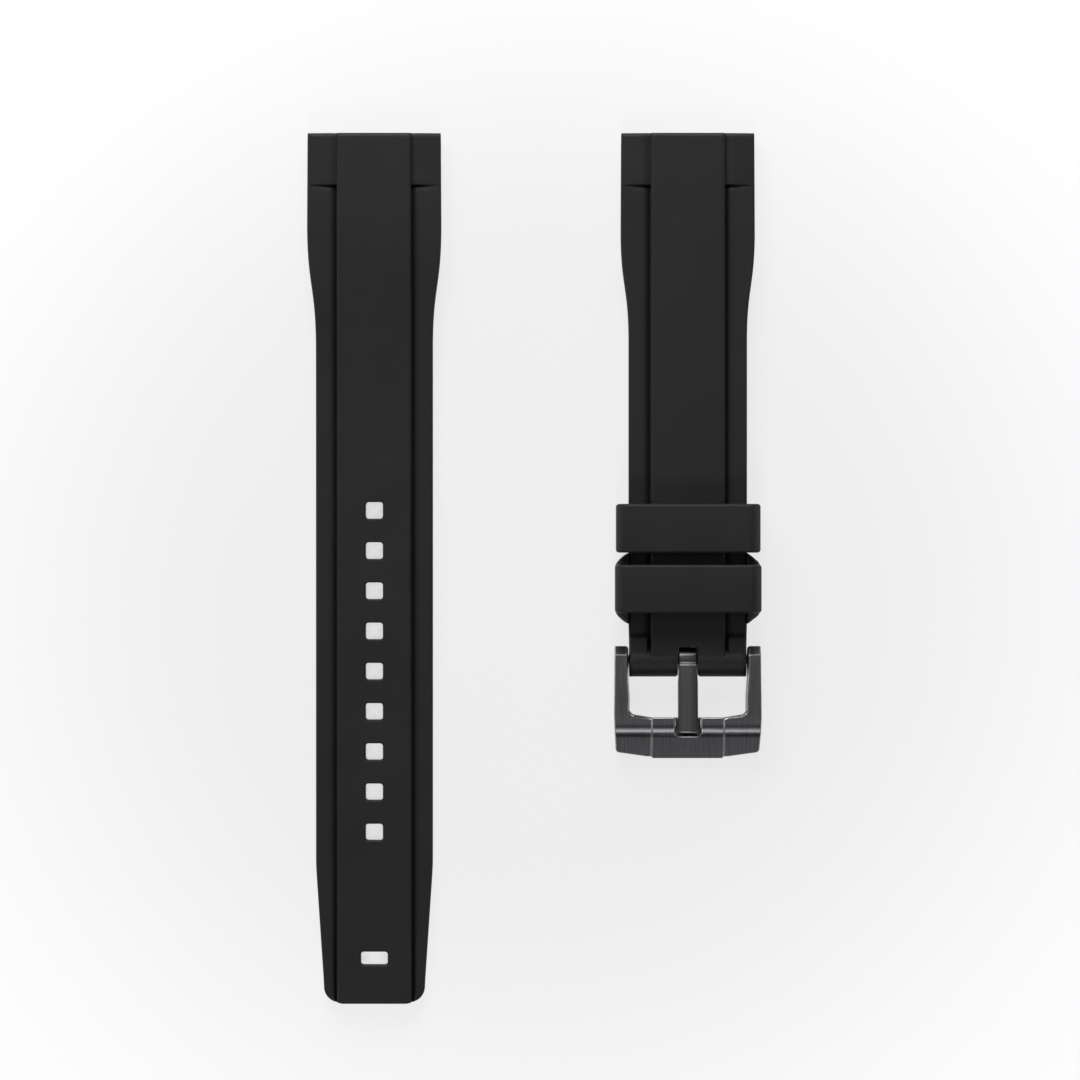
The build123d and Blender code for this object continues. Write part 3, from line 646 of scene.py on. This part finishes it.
def slot_border_path():
    """The border of the middle strip round the slot, point for point beside slot_path: square at its
    corners."""
    path = slot_path(slot_rim)
    corner = np.concatenate([
        np.stack([np.full(3, border_x[0]), slot_border_s[1:]], axis=-1),
        np.stack([border_x[1:], np.full(3, slot_border_s[-1])], axis=-1),
    ])
    first = len(slot_runs)
    path[first:first + 6] = corner
    path[-first - 6:-first] = (corner * np.array([-1, 1]))[::-1]
    return path


def slot_rows(draft):
    """The slot's edge as paths in plan with their depths: the strip's border, then the rounded rim. The
    mould's draft makes it narrower."""
    rows = [(slot_border_path(), 0.0)]
    for angle in quarter(4)[::-1]:
        rows.append((slot_path(slot_rim * (1 - np.cos(angle)) - draft), slot_rim * (1 - np.sin(angle))))
    return rows


slot_draft = 0.03
slot_stack = []
faces_of_slot = [
    (lambda s: buckle_top(s, 0), -1, slot_rows(0)),
    (buckle_bottom, 1, slot_rows(slot_draft)[::-1]),
]
for surface, inwards, rows in faces_of_slot:
    for path, drop in rows:
        s = path[:, 1]
        thinning = np.where(s > roll_centre, np.clip(roll_offset(s) / (2 * slot_rim), 0, 1), 1)
        slot_stack.append(np.stack([path[:, 0], s, surface(s) + inwards * drop * thinning], axis=-1))
slot_stack = np.stack(slot_stack)
roll_ends = [np.concatenate([buckle_side[-1], slot_stack[::-1, 0][1:-1]])]
roll_ends.append(mirrored(roll_ends[0]))
buckle_strips = [strip_top[before_slot], strip_low[before_slot]]
buckle_grids = [buckle_side, mirrored(buckle_side), *buckle_strips, slot_stack]
buckle_caps = [end_loop(buckle_side, strip_top, strip_low, 0)] + roll_ends
buckle = joined_solid(
    "buckle_strap_rubber",
    [laid_out(grid, buckle_x) for grid in buckle_grids],
    [laid_out(cap, buckle_x) for cap in buckle_caps],
)
bored(buckle, lug_bore[0], buckle_x, watch_end_y - lug_bore[1], lug_bore[2], bore_reach)
bored(buckle, bar_bore_radius, buckle_x, watch_end_y - hinge_distance, hinge_height, bore_reach)
crisp(buckle, rubber_crease)
buckle.data.materials.append(rubber)
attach(buckle, "buckle_half")
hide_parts("buckle_strap")


# Floating keeper: a plain loop of the same rubber that slides along the buckle half and holds the tail's tip.
# It is moulded with round corners, and the edges of its two open ends are softened.

def keeper_loop(outer, inner, inner_height, start, end):
    """A rubber loop: rounded rectangles that run along the inside, over the softened rim of one end, along
    the outside and over the other rim. start and end give the two end faces' stations for points in the
    section."""
    rings = []
    for face, inwards in ((start, 1), (end, -1)):
        half_turn = []
        for angle in quarter(5):
            grow = keeper_inner_rim * (1 - np.cos(angle))
            ring = rounded_ring(*(inner + grow), keeper_opening_corner + grow,
                                keeper_arc_steps, keeper_run_steps)
            half_turn.append((ring + np.array([0, inner_height]), keeper_inner_rim * (1 - np.sin(angle))))
        for angle in quarter(5)[::-1]:
            shrink = keeper_outer_rim * (1 - np.cos(angle))
            ring = rounded_ring(*(outer - shrink), keeper_corner - shrink,
                                keeper_arc_steps, keeper_run_steps)
            half_turn.append((ring + np.array([0, outer[1]]), keeper_outer_rim * (1 - np.sin(angle))))
        for ring, depth in half_turn[::inwards]:
            s = face(ring[:, 0], ring[:, 1]) + inwards * depth
            rings.append(np.stack([ring[:, 0], s, ring[:, 1]], axis=-1))
    return np.stack(rings + rings[:1])


keeper_height = 9.1
keeper_corner = 1.8
keeper_opening_corner = 0.6
keeper_top_wall = 1.3
keeper_inner_rim = 0.2
keeper_outer_rim = 0.45
keeper_arc_steps = 8
keeper_run_steps = 12
floating_low, floating_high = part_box("floating_keeper")
floating_half = (floating_high.x - floating_low.x) / 2 / mm
floating_start = watch_end_y - floating_high.y / mm
floating_end = watch_end_y - floating_low.y / mm
floating_side_wall = 1.6
floating_floor = 1.2
opening_half_height = (keeper_height - keeper_top_wall - floating_floor) / 2
floating_grid = keeper_loop(
    np.array([floating_half, keeper_height / 2]),
    np.array([floating_half - floating_side_wall, opening_half_height]),
    floating_floor + opening_half_height,
    lambda x, z: np.full_like(x, floating_start), lambda x, z: np.full_like(x, floating_end),
)
floating = joined_solid("floating_keeper_rubber", [laid_out(floating_grid, buckle_x)], [])
crisp(floating, rubber_crease)
floating.data.materials.append(rubber)
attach(floating, "floating_keeper")
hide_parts("floating_keeper")


# Fixed keeper: the loop beside the buckle, bonded to the strap. Its foot spreads along the strap's sides in
# two rounded gussets. Its top is bare.

def foot_reach(x, z):
    """How far the foot stands out past the top of the loop: whole beside the strap, falling off over a
    bulging curve to the loop's outside, and smoothly upwards above the strap's edge."""
    out = np.clip((np.abs(x) - buckle_half_width) / (fixed_half - buckle_half_width), 0, 1)
    return fixed_foot_reach * (1 - out**foot_bulge) * s_curve(z, foot_top, foot_top + foot_taper, 1, 0)


fixed_low, fixed_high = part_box("fixed_keeper")
fixed_half = (fixed_high.x - fixed_low.x) / 2 / mm
fixed_foot_reach = 1.7
fixed_start = watch_end_y - fixed_high.y / mm + fixed_foot_reach
fixed_end = watch_end_y - fixed_low.y / mm - fixed_foot_reach
foot_top = 3.6
foot_taper = 2.0
foot_bulge = 1.5
opening_half_height = (keeper_height - keeper_top_wall - underside_height) / 2
fixed_grid = keeper_loop(
    np.array([fixed_half, keeper_height / 2]),
    np.array([buckle_half_width, opening_half_height]),
    underside_height + opening_half_height,
    lambda x, z: fixed_start - foot_reach(x, z), lambda x, z: fixed_end + foot_reach(x, z),
)
fixed = joined_solid("fixed_keeper_rubber", [laid_out(fixed_grid, buckle_x)], [])
crisp(fixed, rubber_crease)
fixed.data.materials.append(rubber)
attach(fixed, "buckle_half")
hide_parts("fixed_keeper")


# Buckle frame: solid stainless steel with a dark coating, brushed along the strap. Two arms hold the spring
# bar, and a crossbar with a soft ridge carries a raised panel that is notched for the tongue. Its edges are
# burnished, and painted bright as highlight lines.

def bevelled_copy(node, name, radius, cuts=()):
    """A copy of a CAD node with its triangles merged into flat faces, its upper faces cut across at some
    places along Y, and its edges rounded by a radius. The rounded faces take the second material."""
    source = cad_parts[node].data
    mesh = bpy.data.meshes.new(name)
    mesh.from_pydata([v.co for v in source.vertices], [], [p.vertices[:] for p in source.polygons])
    work = bmesh.new()
    work.from_mesh(mesh)
    bmesh.ops.remove_doubles(work, verts=work.verts, dist=2 * hair * mm)
    bmesh.ops.dissolve_limit(work, angle_limit=np.radians(1), verts=work.verts, edges=work.edges)
    work.normal_update()
    for y in cuts:
        upper = [face for face in work.faces if face.normal.z > upward]
        upper += [edge for edge in work.edges if any(face.normal.z > upward for face in edge.link_faces)]
        upper += [point for point in work.verts if any(face.normal.z > upward for face in point.link_faces)]
        bmesh.ops.bisect_plane(work, geom=upper, plane_co=(0, y, 0), plane_no=(0, 1, 0))
    work.to_mesh(mesh)
    work.free()
    piece = bpy.data.objects.new(name, mesh)
    bpy.context.scene.collection.objects.link(piece)
    edge = piece.modifiers.new("softened_edges", "BEVEL")
    edge.width = radius
    edge.segments = 3
    edge.limit_method = "ANGLE"
    edge.angle_limit = np.radians(steel_crease)
    edge.harden_normals = True
    edge.use_clamp_overlap = False
    edge.material = 1
    return piece


def crest(reach, radius):
    """Height of the crossbar's top above the hinge at a reach from it: the upper slope and the front slope,
    joined by an arc that touches both."""
    rise, fall = np.arctan(upper_slope), np.arctan(front_slope)
    tangent = radius * np.tan((rise - fall) / 2)
    start = ridge_reach - tangent * np.cos(rise)
    end = ridge_reach + tangent * np.cos(fall)
    centre = (start + radius * np.sin(rise), ridge_rise - tangent * np.sin(rise) - radius * np.cos(rise))
    arc = centre[1] + np.sqrt(np.clip(radius**2 - (reach - centre[0]) ** 2, 0, None))
    upper = ridge_rise + (reach - ridge_reach) * upper_slope
    front = ridge_rise + (reach - ridge_reach) * front_slope
    return np.where(reach < start, upper, np.where(reach > end, front, arc))


upward = 0.3
steel_crease = 28
steel_edge = 0.15
ridge_reach = 10.85
ridge_rise = 2.6
upper_slope = 0.1395
front_slope = -1.097
ridge_radius = 1.4
polished_radius = 2.6
polished_start = 9.4
polished_end = 11.9
polished_step = 0.12
polished_depth = 0.7
polished_fade = 0.4
hinge_y = watch_end_y - hinge_distance
ridge_cuts = (hinge_y - np.arange(polished_start, polished_end, polished_step)) * mm
frame_piece = bevelled_copy("buckle_frame", "buckle_frame_steel", steel_edge * mm, ridge_cuts)

# The polished ridge is rounder than the solid's: its top follows a wider arc between the same two slopes, and
# what lies deeper under it moves less.
points = np.empty(3 * len(frame_piece.data.vertices))
frame_piece.data.vertices.foreach_get("co", points)
points = points.reshape(-1, 3)
reach = hinge_y - points[:, 1] / mm
depth = hinge_height + crest(reach, ridge_radius) - points[:, 2] / mm
near_top = np.clip((polished_depth - depth) / polished_fade, 0, 1)
points[:, 2] += near_top * (crest(reach, polished_radius) - crest(reach, ridge_radius)) * mm
frame_piece.data.vertices.foreach_set("co", points.ravel())
crisp(frame_piece, steel_crease)

# Brushed stainless steel under a dark hard coating: grey metal with fine lines along the strap that spread
# the lights sideways. Real brushing is some hundredths of a millimetre wide, drawn at 0.12 mm so that it
# shows.
brushed, tree, output = new_material("brushed_dark_coated_steel")
place = add_node(tree, "ShaderNodeTexCoord").outputs["Object"]
lines = add_node(tree, "ShaderNodeMapping", {"Vector": place})
lines.inputs["Scale"].default_value = (1 / (0.12 * mm), 1 / (6 * mm), 1 / (6 * mm))
brushing = add_node(tree, "ShaderNodeTexNoise", {
    "Vector": lines.outputs["Vector"], "Scale": 1.0, "Detail": 3.0,
})
shade = add_node(tree, "ShaderNodeMix", {
    0: brushing.outputs["Fac"], 6: linear("#333335"), 7: linear("#626265"),
}, data_type="RGBA")
gloss = add_node(tree, "ShaderNodeMapRange", {
    "Value": brushing.outputs["Fac"], "To Min": 0.24, "To Max": 0.38,
})
relief = add_node(tree, "ShaderNodeBump", {
    "Height": brushing.outputs["Fac"], "Strength": 0.25, "Distance": 0.02 * mm,
})
face = add_node(tree, "ShaderNodeBsdfPrincipled", {
    "Base Color": shade.outputs[2],
    "Metallic": 1.0,
    "Roughness": gloss.outputs["Result"],
    "Normal": relief.outputs["Normal"],
})
tree.links.new(face.outputs["BSDF"], output.inputs["Surface"])
frame_piece.data.materials.append(brushed)

# Burnished edges with painted highlights: handling wears the dark coating off the frame's and the tongue's
# edges, down to the bright steel, and the same bright steel paints the fine highlight lines along them, with
# small dull patches.
burnished_highlight, tree, output = new_material("burnished_highlight_steel_edges")
place = add_node(tree, "ShaderNodeTexCoord").outputs["Object"]
patches = add_node(tree, "ShaderNodeTexNoise", {"Vector": place, "Scale": 1 / (1.2 * mm), "Detail": 2.0})
shade = add_node(tree, "ShaderNodeMix", {
    0: patches.outputs["Fac"], 6: linear("#6c6c6e"), 7: linear("#a2a2a4"),
}, data_type="RGBA")
gloss = add_node(tree, "ShaderNodeMapRange", {"Value": patches.outputs["Fac"], "To Min": 0.3, "To Max": 0.4})
face = add_node(tree, "ShaderNodeBsdfPrincipled", {
    "Base Color": shade.outputs[2],
    "Metallic": 1.0,
    "Roughness": gloss.outputs["Result"],
})
tree.links.new(face.outputs["BSDF"], output.inputs["Surface"])
frame_piece.data.materials.append(burnished_highlight)
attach(frame_piece, "buckle_frame")
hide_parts("buckle_frame")


# Tongue: bent from the same steel, rolled round the spring bar at one end, with a step up to a flat blade
# that widens and rises to the notch. Its edges are softened, and the upper ones are burnished and painted
# bright as highlights.

def corner_arc(before, corner, after, radius):
    """The arc that rounds a corner of the side view and touches the lines to its two neighbours: from the
    corner, its centre lies along the bisector, at the radius over the sine of the half angle."""
    first = (before - corner) / np.linalg.norm(before - corner)
    second = (after - corner) / np.linalg.norm(after - corner)
    inwards = (first + second) / np.linalg.norm(first + second)
    along = (second - first) / np.linalg.norm(second - first)
    half_angle = np.arccos(first @ inwards)
    swing = np.linspace(-1, 1, 7)[:, None] * (np.pi / 2 - half_angle)
    centre = corner + inwards * radius / np.sin(half_angle)
    return centre + radius * (along * np.sin(swing) - inwards * np.cos(swing))


def blade_half_width(reach):
    """Half width in plan: as wide as the barrel, flared from the step on, then rounded at the tip's
    corners."""
    past = np.clip(reach - tip_reach + tip_corner, 0, tip_corner)
    flared = np.interp(reach, [step_top[0], flare_end], [barrel_half_width, blade_half])
    return flared - tip_corner + np.sqrt(tip_corner**2 - past**2)


barrel_radius = 1.8
barrel_half_width = 1.34
barrel_bore_radius = 0.8
flare_end = 3.6
blade_half = 1.52
tip_reach = 11.0
tip_corner = 0.55
tongue_edge = 0.15
tongue_fillet = 0.2
step_reach = 0.7
step_top = np.array([step_reach, 1.95])
step_foot = np.array([step_reach, np.sqrt(barrel_radius**2 - step_reach**2)])
tip_top = np.array([tip_reach, 2.55])
tip_under = np.array([tip_reach, 1.35])
blade_under = np.array([step_reach, 0.71])
barrel_start = 25.2
barrel_steps = 56
tip_stations = (10.45, 10.76)
blade_stations = np.concatenate([np.linspace(barrel_radius, flare_end, 4), np.linspace(*tip_stations, 5)])
blade_stations = blade_stations[:, None]
upper_slant = (tip_top - step_top) / (tip_top - step_top)[0]
lower_slant = (tip_under - blade_under) / (tip_under - blade_under)[0]
upper = step_top + (blade_stations - step_top[0]) * upper_slant
lower = blade_under + (blade_stations - blade_under[0]) * lower_slant
upper = np.concatenate([upper, corner_arc(step_top, tip_top, tip_under, tongue_fillet)])
lower = np.concatenate([lower, corner_arc(blade_under, tip_under, tip_top, tongue_fillet)])
barrel_end = np.arctan2(step_foot[1], step_foot[0]) - 2 * np.pi
barrel_turn = np.linspace(np.radians(barrel_start), barrel_end, barrel_steps + 1)
barrel = barrel_radius * np.stack([np.cos(barrel_turn), np.sin(barrel_turn)], axis=-1)
step_arc = corner_arc(step_foot, step_top, tip_top, tongue_fillet)
outline = np.concatenate([barrel, step_arc, upper, lower[::-1]])

# The side view carried across: each row lies nearer to the side and further in, over a quarter circle.
heading = np.roll(outline, -1, axis=0) - np.roll(outline, 1, axis=0)
heading /= np.linalg.norm(heading, axis=1)[:, None]
outwards = np.stack([-heading[:, 1], heading[:, 0]], axis=-1)
tongue_rows = []
for angle in quarter(4):
    x = blade_half_width(outline[:, 0]) - tongue_edge * (1 - np.sin(angle))
    inset = outline - outwards * tongue_edge * (1 - np.cos(angle))
    tongue_rows.append(np.stack([x, hinge_distance + inset[:, 0], hinge_height + inset[:, 1]], axis=-1))
tongue_rows = np.stack(tongue_rows)
flipped = tongue_rows * np.array([-1, 1, 1])
tongue_skin = np.concatenate([flipped[::-1], tongue_rows])
tongue_grids = [np.concatenate([tongue_skin, tongue_skin[:, :1]], axis=1)]
tongue_caps = []
barrel_points = len(outline) - len(upper) - len(lower)
for side in (tongue_rows[-1], flipped[-1]):
    tongue_grids.append(np.stack([side[barrel_points:][:len(upper)], side[::-1][:len(lower)]]))
    tongue_caps.append(np.concatenate([side[:barrel_points + 1], side[-1:]]))
tongue_piece = joined_solid(
    "tongue_steel",
    [laid_out(grid, buckle_x) for grid in tongue_grids],
    [laid_out(cap, buckle_x) for cap in tongue_caps],
)
bored(tongue_piece, barrel_bore_radius, buckle_x, hinge_y, hinge_height, 2 * barrel_half_width)
crisp(tongue_piece, steel_crease)
tongue_piece.data.materials.append(brushed)
tongue_piece.data.materials.append(burnished_highlight)

# Worn faces, painted bright as highlights: those that lean, between upright and level, off the barrel or at
# its sides.
worn_highlight_lean = (0.25, 0.96)
worn_highlight_side = 0.2
barrel_margin = 0.03
normals = np.empty(3 * len(tongue_piece.data.polygons))
tongue_piece.data.polygons.foreach_get("normal", normals)
normals = normals.reshape(-1, 3)
centres = np.empty(normals.size)
tongue_piece.data.polygons.foreach_get("center", centres)
centres = centres.reshape(-1, 3) / mm
off_barrel = np.hypot(centres[:, 1] - hinge_y, centres[:, 2] - hinge_height) > barrel_radius + barrel_margin
leaning = (normals[:, 2] > worn_highlight_lean[0]) & (normals[:, 2] < worn_highlight_lean[1])
worn_highlight_faces = leaning & (off_barrel | (np.abs(normals[:, 0]) > worn_highlight_side))
tongue_piece.data.polygons.foreach_set("material_index", worn_highlight_faces.astype(np.int32))
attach(tongue_piece, "tongue")
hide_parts("tongue")


# Spring bar: a crimped tube with a shouldered pin in each end and a coil spring between them, all bare steel,
# turned or drawn. It hides inside the roll, and its pins sit in the frame's arms.

# Turned stainless steel: bright metal with fine rings round the bar, drawn at 0.1 mm so that they show, and
# painted dark as shade where rubber or steel stands close around it.
turned, tree, output = new_material("turned_stainless_steel")
place = add_node(tree, "ShaderNodeTexCoord").outputs["Object"]
rings = add_node(tree, "ShaderNodeMapping", {"Vector": place})
rings.inputs["Scale"].default_value = (1 / (0.1 * mm), 1 / (4 * mm), 1 / (4 * mm))
turning = add_node(tree, "ShaderNodeTexNoise", {
    "Vector": rings.outputs["Vector"], "Scale": 1.0, "Detail": 2.0,
})
gloss = add_node(tree, "ShaderNodeMapRange", {"Value": turning.outputs["Fac"], "To Min": 0.2, "To Max": 0.38})
# Painted shade: the steel is painted near black where it is closed in within 1 mm.
crevice_shade_occlusion = add_node(tree, "ShaderNodeAmbientOcclusion", {"Distance": 1 * mm}, samples=8)
crevice_unshaded_share = add_node(tree, "ShaderNodeMapRange", {
    "Value": crevice_shade_occlusion.outputs["AO"], "From Min": 0.4, "From Max": 0.8,
})
shade = add_node(tree, "ShaderNodeMix", {
    0: crevice_unshaded_share.outputs["Result"], 6: linear("#161616"), 7: linear("#c4c3c0"),
}, data_type="RGBA")
face = add_node(tree, "ShaderNodeBsdfPrincipled", {
    "Base Color": shade.outputs[2],
    "Metallic": 1.0,
    "Roughness": gloss.outputs["Result"],
})
tree.links.new(face.outputs["BSDF"], output.inputs["Surface"])
for name in ("spring_bar_tube", "spring_bar_pin_left", "spring_bar_pin_right"):
    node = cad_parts[name]
    node.data.materials.clear()
    node.data.materials.append(turned)

# The coil spring cut at its middle into two lengths, one named for each pin, each closed where it is cut.
spring_low, spring_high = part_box("spring_bar_spring")
spring_middle = (spring_low + spring_high) / 2
for name, body in (("spring_bar_pin_left", "left_pin"), ("spring_bar_pin_right", "right_pin")):
    pin_low, pin_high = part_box(name)
    side = float(np.sign((pin_low + pin_high).x / 2 - spring_middle.x))
    spring_end = spring_middle.copy()
    spring_end.x = spring_high.x if side > 0 else spring_low.x
    work = bmesh.new()
    work.from_mesh(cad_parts["spring_bar_spring"].data)
    everything = work.verts[:] + work.edges[:] + work.faces[:]
    bmesh.ops.bisect_plane(
        work, geom=everything, plane_co=spring_middle, plane_no=(side, 0, 0), clear_inner=True,
    )
    bmesh.ops.holes_fill(work, edges=[edge for edge in work.edges if edge.is_boundary])
    mesh = bpy.data.meshes.new(body + "_spring_wire")
    work.to_mesh(mesh)
    work.free()
    coil = bpy.data.objects.new(body + "_spring_wire", mesh)
    bpy.context.scene.collection.objects.link(coil)
    coil.data.materials.append(turned)
    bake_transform(coil)
    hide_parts("spring_bar_spring")


# Table: a plain white sheet. What the camera, metal and glass see of it is partly its own white, so the strap
# keeps its soft shadow on an almost white ground. That own white is held back where the sheet is closed in,
# as painted shade in the holes, gaps and window. The sheet's tone is painted a little darker near the strap
# as a soft shadow, and rises away from it.
table_mesh = bpy.data.meshes.new("white_table")
table_z = -0.05 * mm
table_corners = [(-1, -1, table_z), (1, -1, table_z), (1, 1, table_z), (-1, 1, table_z)]
table_mesh.from_pydata(table_corners, [], [(0, 1, 2, 3)])
table = bpy.data.objects.new("white_table", table_mesh)
bpy.context.scene.collection.objects.link(table)
sheet, tree, output = new_material("matt_white_sheet")
path = add_node(tree, "ShaderNodeLightPath")
seen = add_node(tree, "ShaderNodeMath", {0: path.outputs["Is Camera Ray"], 1: path.outputs["Is Glossy Ray"]})
seen = add_node(tree, "ShaderNodeMath", {0: seen.outputs[0], 1: path.outputs["Is Transmission Ray"]})
# Painted shade: the sheet's own white fades out where it is closed in within 12 mm.
floor_shade_occlusion = add_node(tree, "ShaderNodeAmbientOcclusion", {"Distance": 12 * mm}, samples=16)
floor_unshaded_share = add_node(tree, "ShaderNodeMapRange", {
    "Value": floor_shade_occlusion.outputs["AO"], "From Min": 0.08, "From Max": 0.13, "To Max": 0.88,
})
own_white_with_painted_shade = add_node(tree, "ShaderNodeMath", {
    0: seen.outputs[0], 1: floor_unshaded_share.outputs["Result"],
}, operation="MULTIPLY")
# Painted shadow: the sheet's tone is darker near the strap and rises away from it.
place = add_node(tree, "ShaderNodeTexCoord").outputs["Object"]
distance = add_node(tree, "ShaderNodeVectorMath", {0: place}, operation="LENGTH")
painted_shadow_tone = add_node(tree, "ShaderNodeMapRange", {
    "Value": distance.outputs["Value"], "From Min": 40 * mm, "From Max": 115 * mm, "To Min": 0.86,
}, interpolation_type="SMOOTHSTEP")
lit = add_node(tree, "ShaderNodeBsdfDiffuse", {"Color": painted_shadow_tone.outputs["Result"]})
glow = add_node(tree, "ShaderNodeEmission", {"Color": painted_shadow_tone.outputs["Result"], "Strength": 1.0})
mixed = add_node(tree, "ShaderNodeMixShader", {
    0: own_white_with_painted_shade.outputs[0], 1: lit.outputs[0], 2: glow.outputs[0],
})
tree.links.new(mixed.outputs[0], output.inputs["Surface"])
table.data.materials.append(sheet)

# Studio light: a broad soft lamp beyond the watch ends and to the left, one overhead, one beyond the buckle
# that draws the bright line along its ridge, and low lamps like pale walls on three sides, which the steel
# mirrors.

def area_lamp(name, place, size_x, size_y, energy):
    """A rectangular lamp that faces the strap."""
    data = bpy.data.lights.new(name, "AREA")
    data.shape = "RECTANGLE"
    data.size = size_x
    data.size_y = size_y
    data.energy = energy
    lamp = bpy.data.objects.new(name, data)
    lamp.location = place
    lamp.rotation_euler = (-lamp.location).to_track_quat("-Z", "Y").to_euler()
    bpy.context.scene.collection.objects.link(lamp)


area_lamp("soft_lamp", (-0.08, 0.35, 0.28), 0.33, 0.2, 1.95)
area_lamp("overhead_lamp", (0.0, 0.15, 0.88), 0.3, 0.45, 0.48)
area_lamp("ridge_lamp", (0.0, -0.46, 0.55), 0.16, 0.2, 1.4)
area_lamp("north_wall_lamp", (0.0, 0.65, 0.17), 0.6, 0.28, 2.0)
area_lamp("west_wall_lamp", (-0.6, 0.0, 0.08), 0.3, 0.12, 0.9)
area_lamp("east_wall_lamp", (0.6, 0.0, 0.08), 0.3, 0.12, 0.7)
world = bpy.data.worlds.new("pale_studio")
world.use_nodes = True
world.node_tree.nodes.clear()
tree = world.node_tree
air = add_node(tree, "ShaderNodeBackground", {"Color": (1, 1, 1, 1), "Strength": 0.07})
output = add_node(tree, "ShaderNodeOutputWorld", {"Surface": air.outputs["Background"]})
bpy.context.scene.world = world
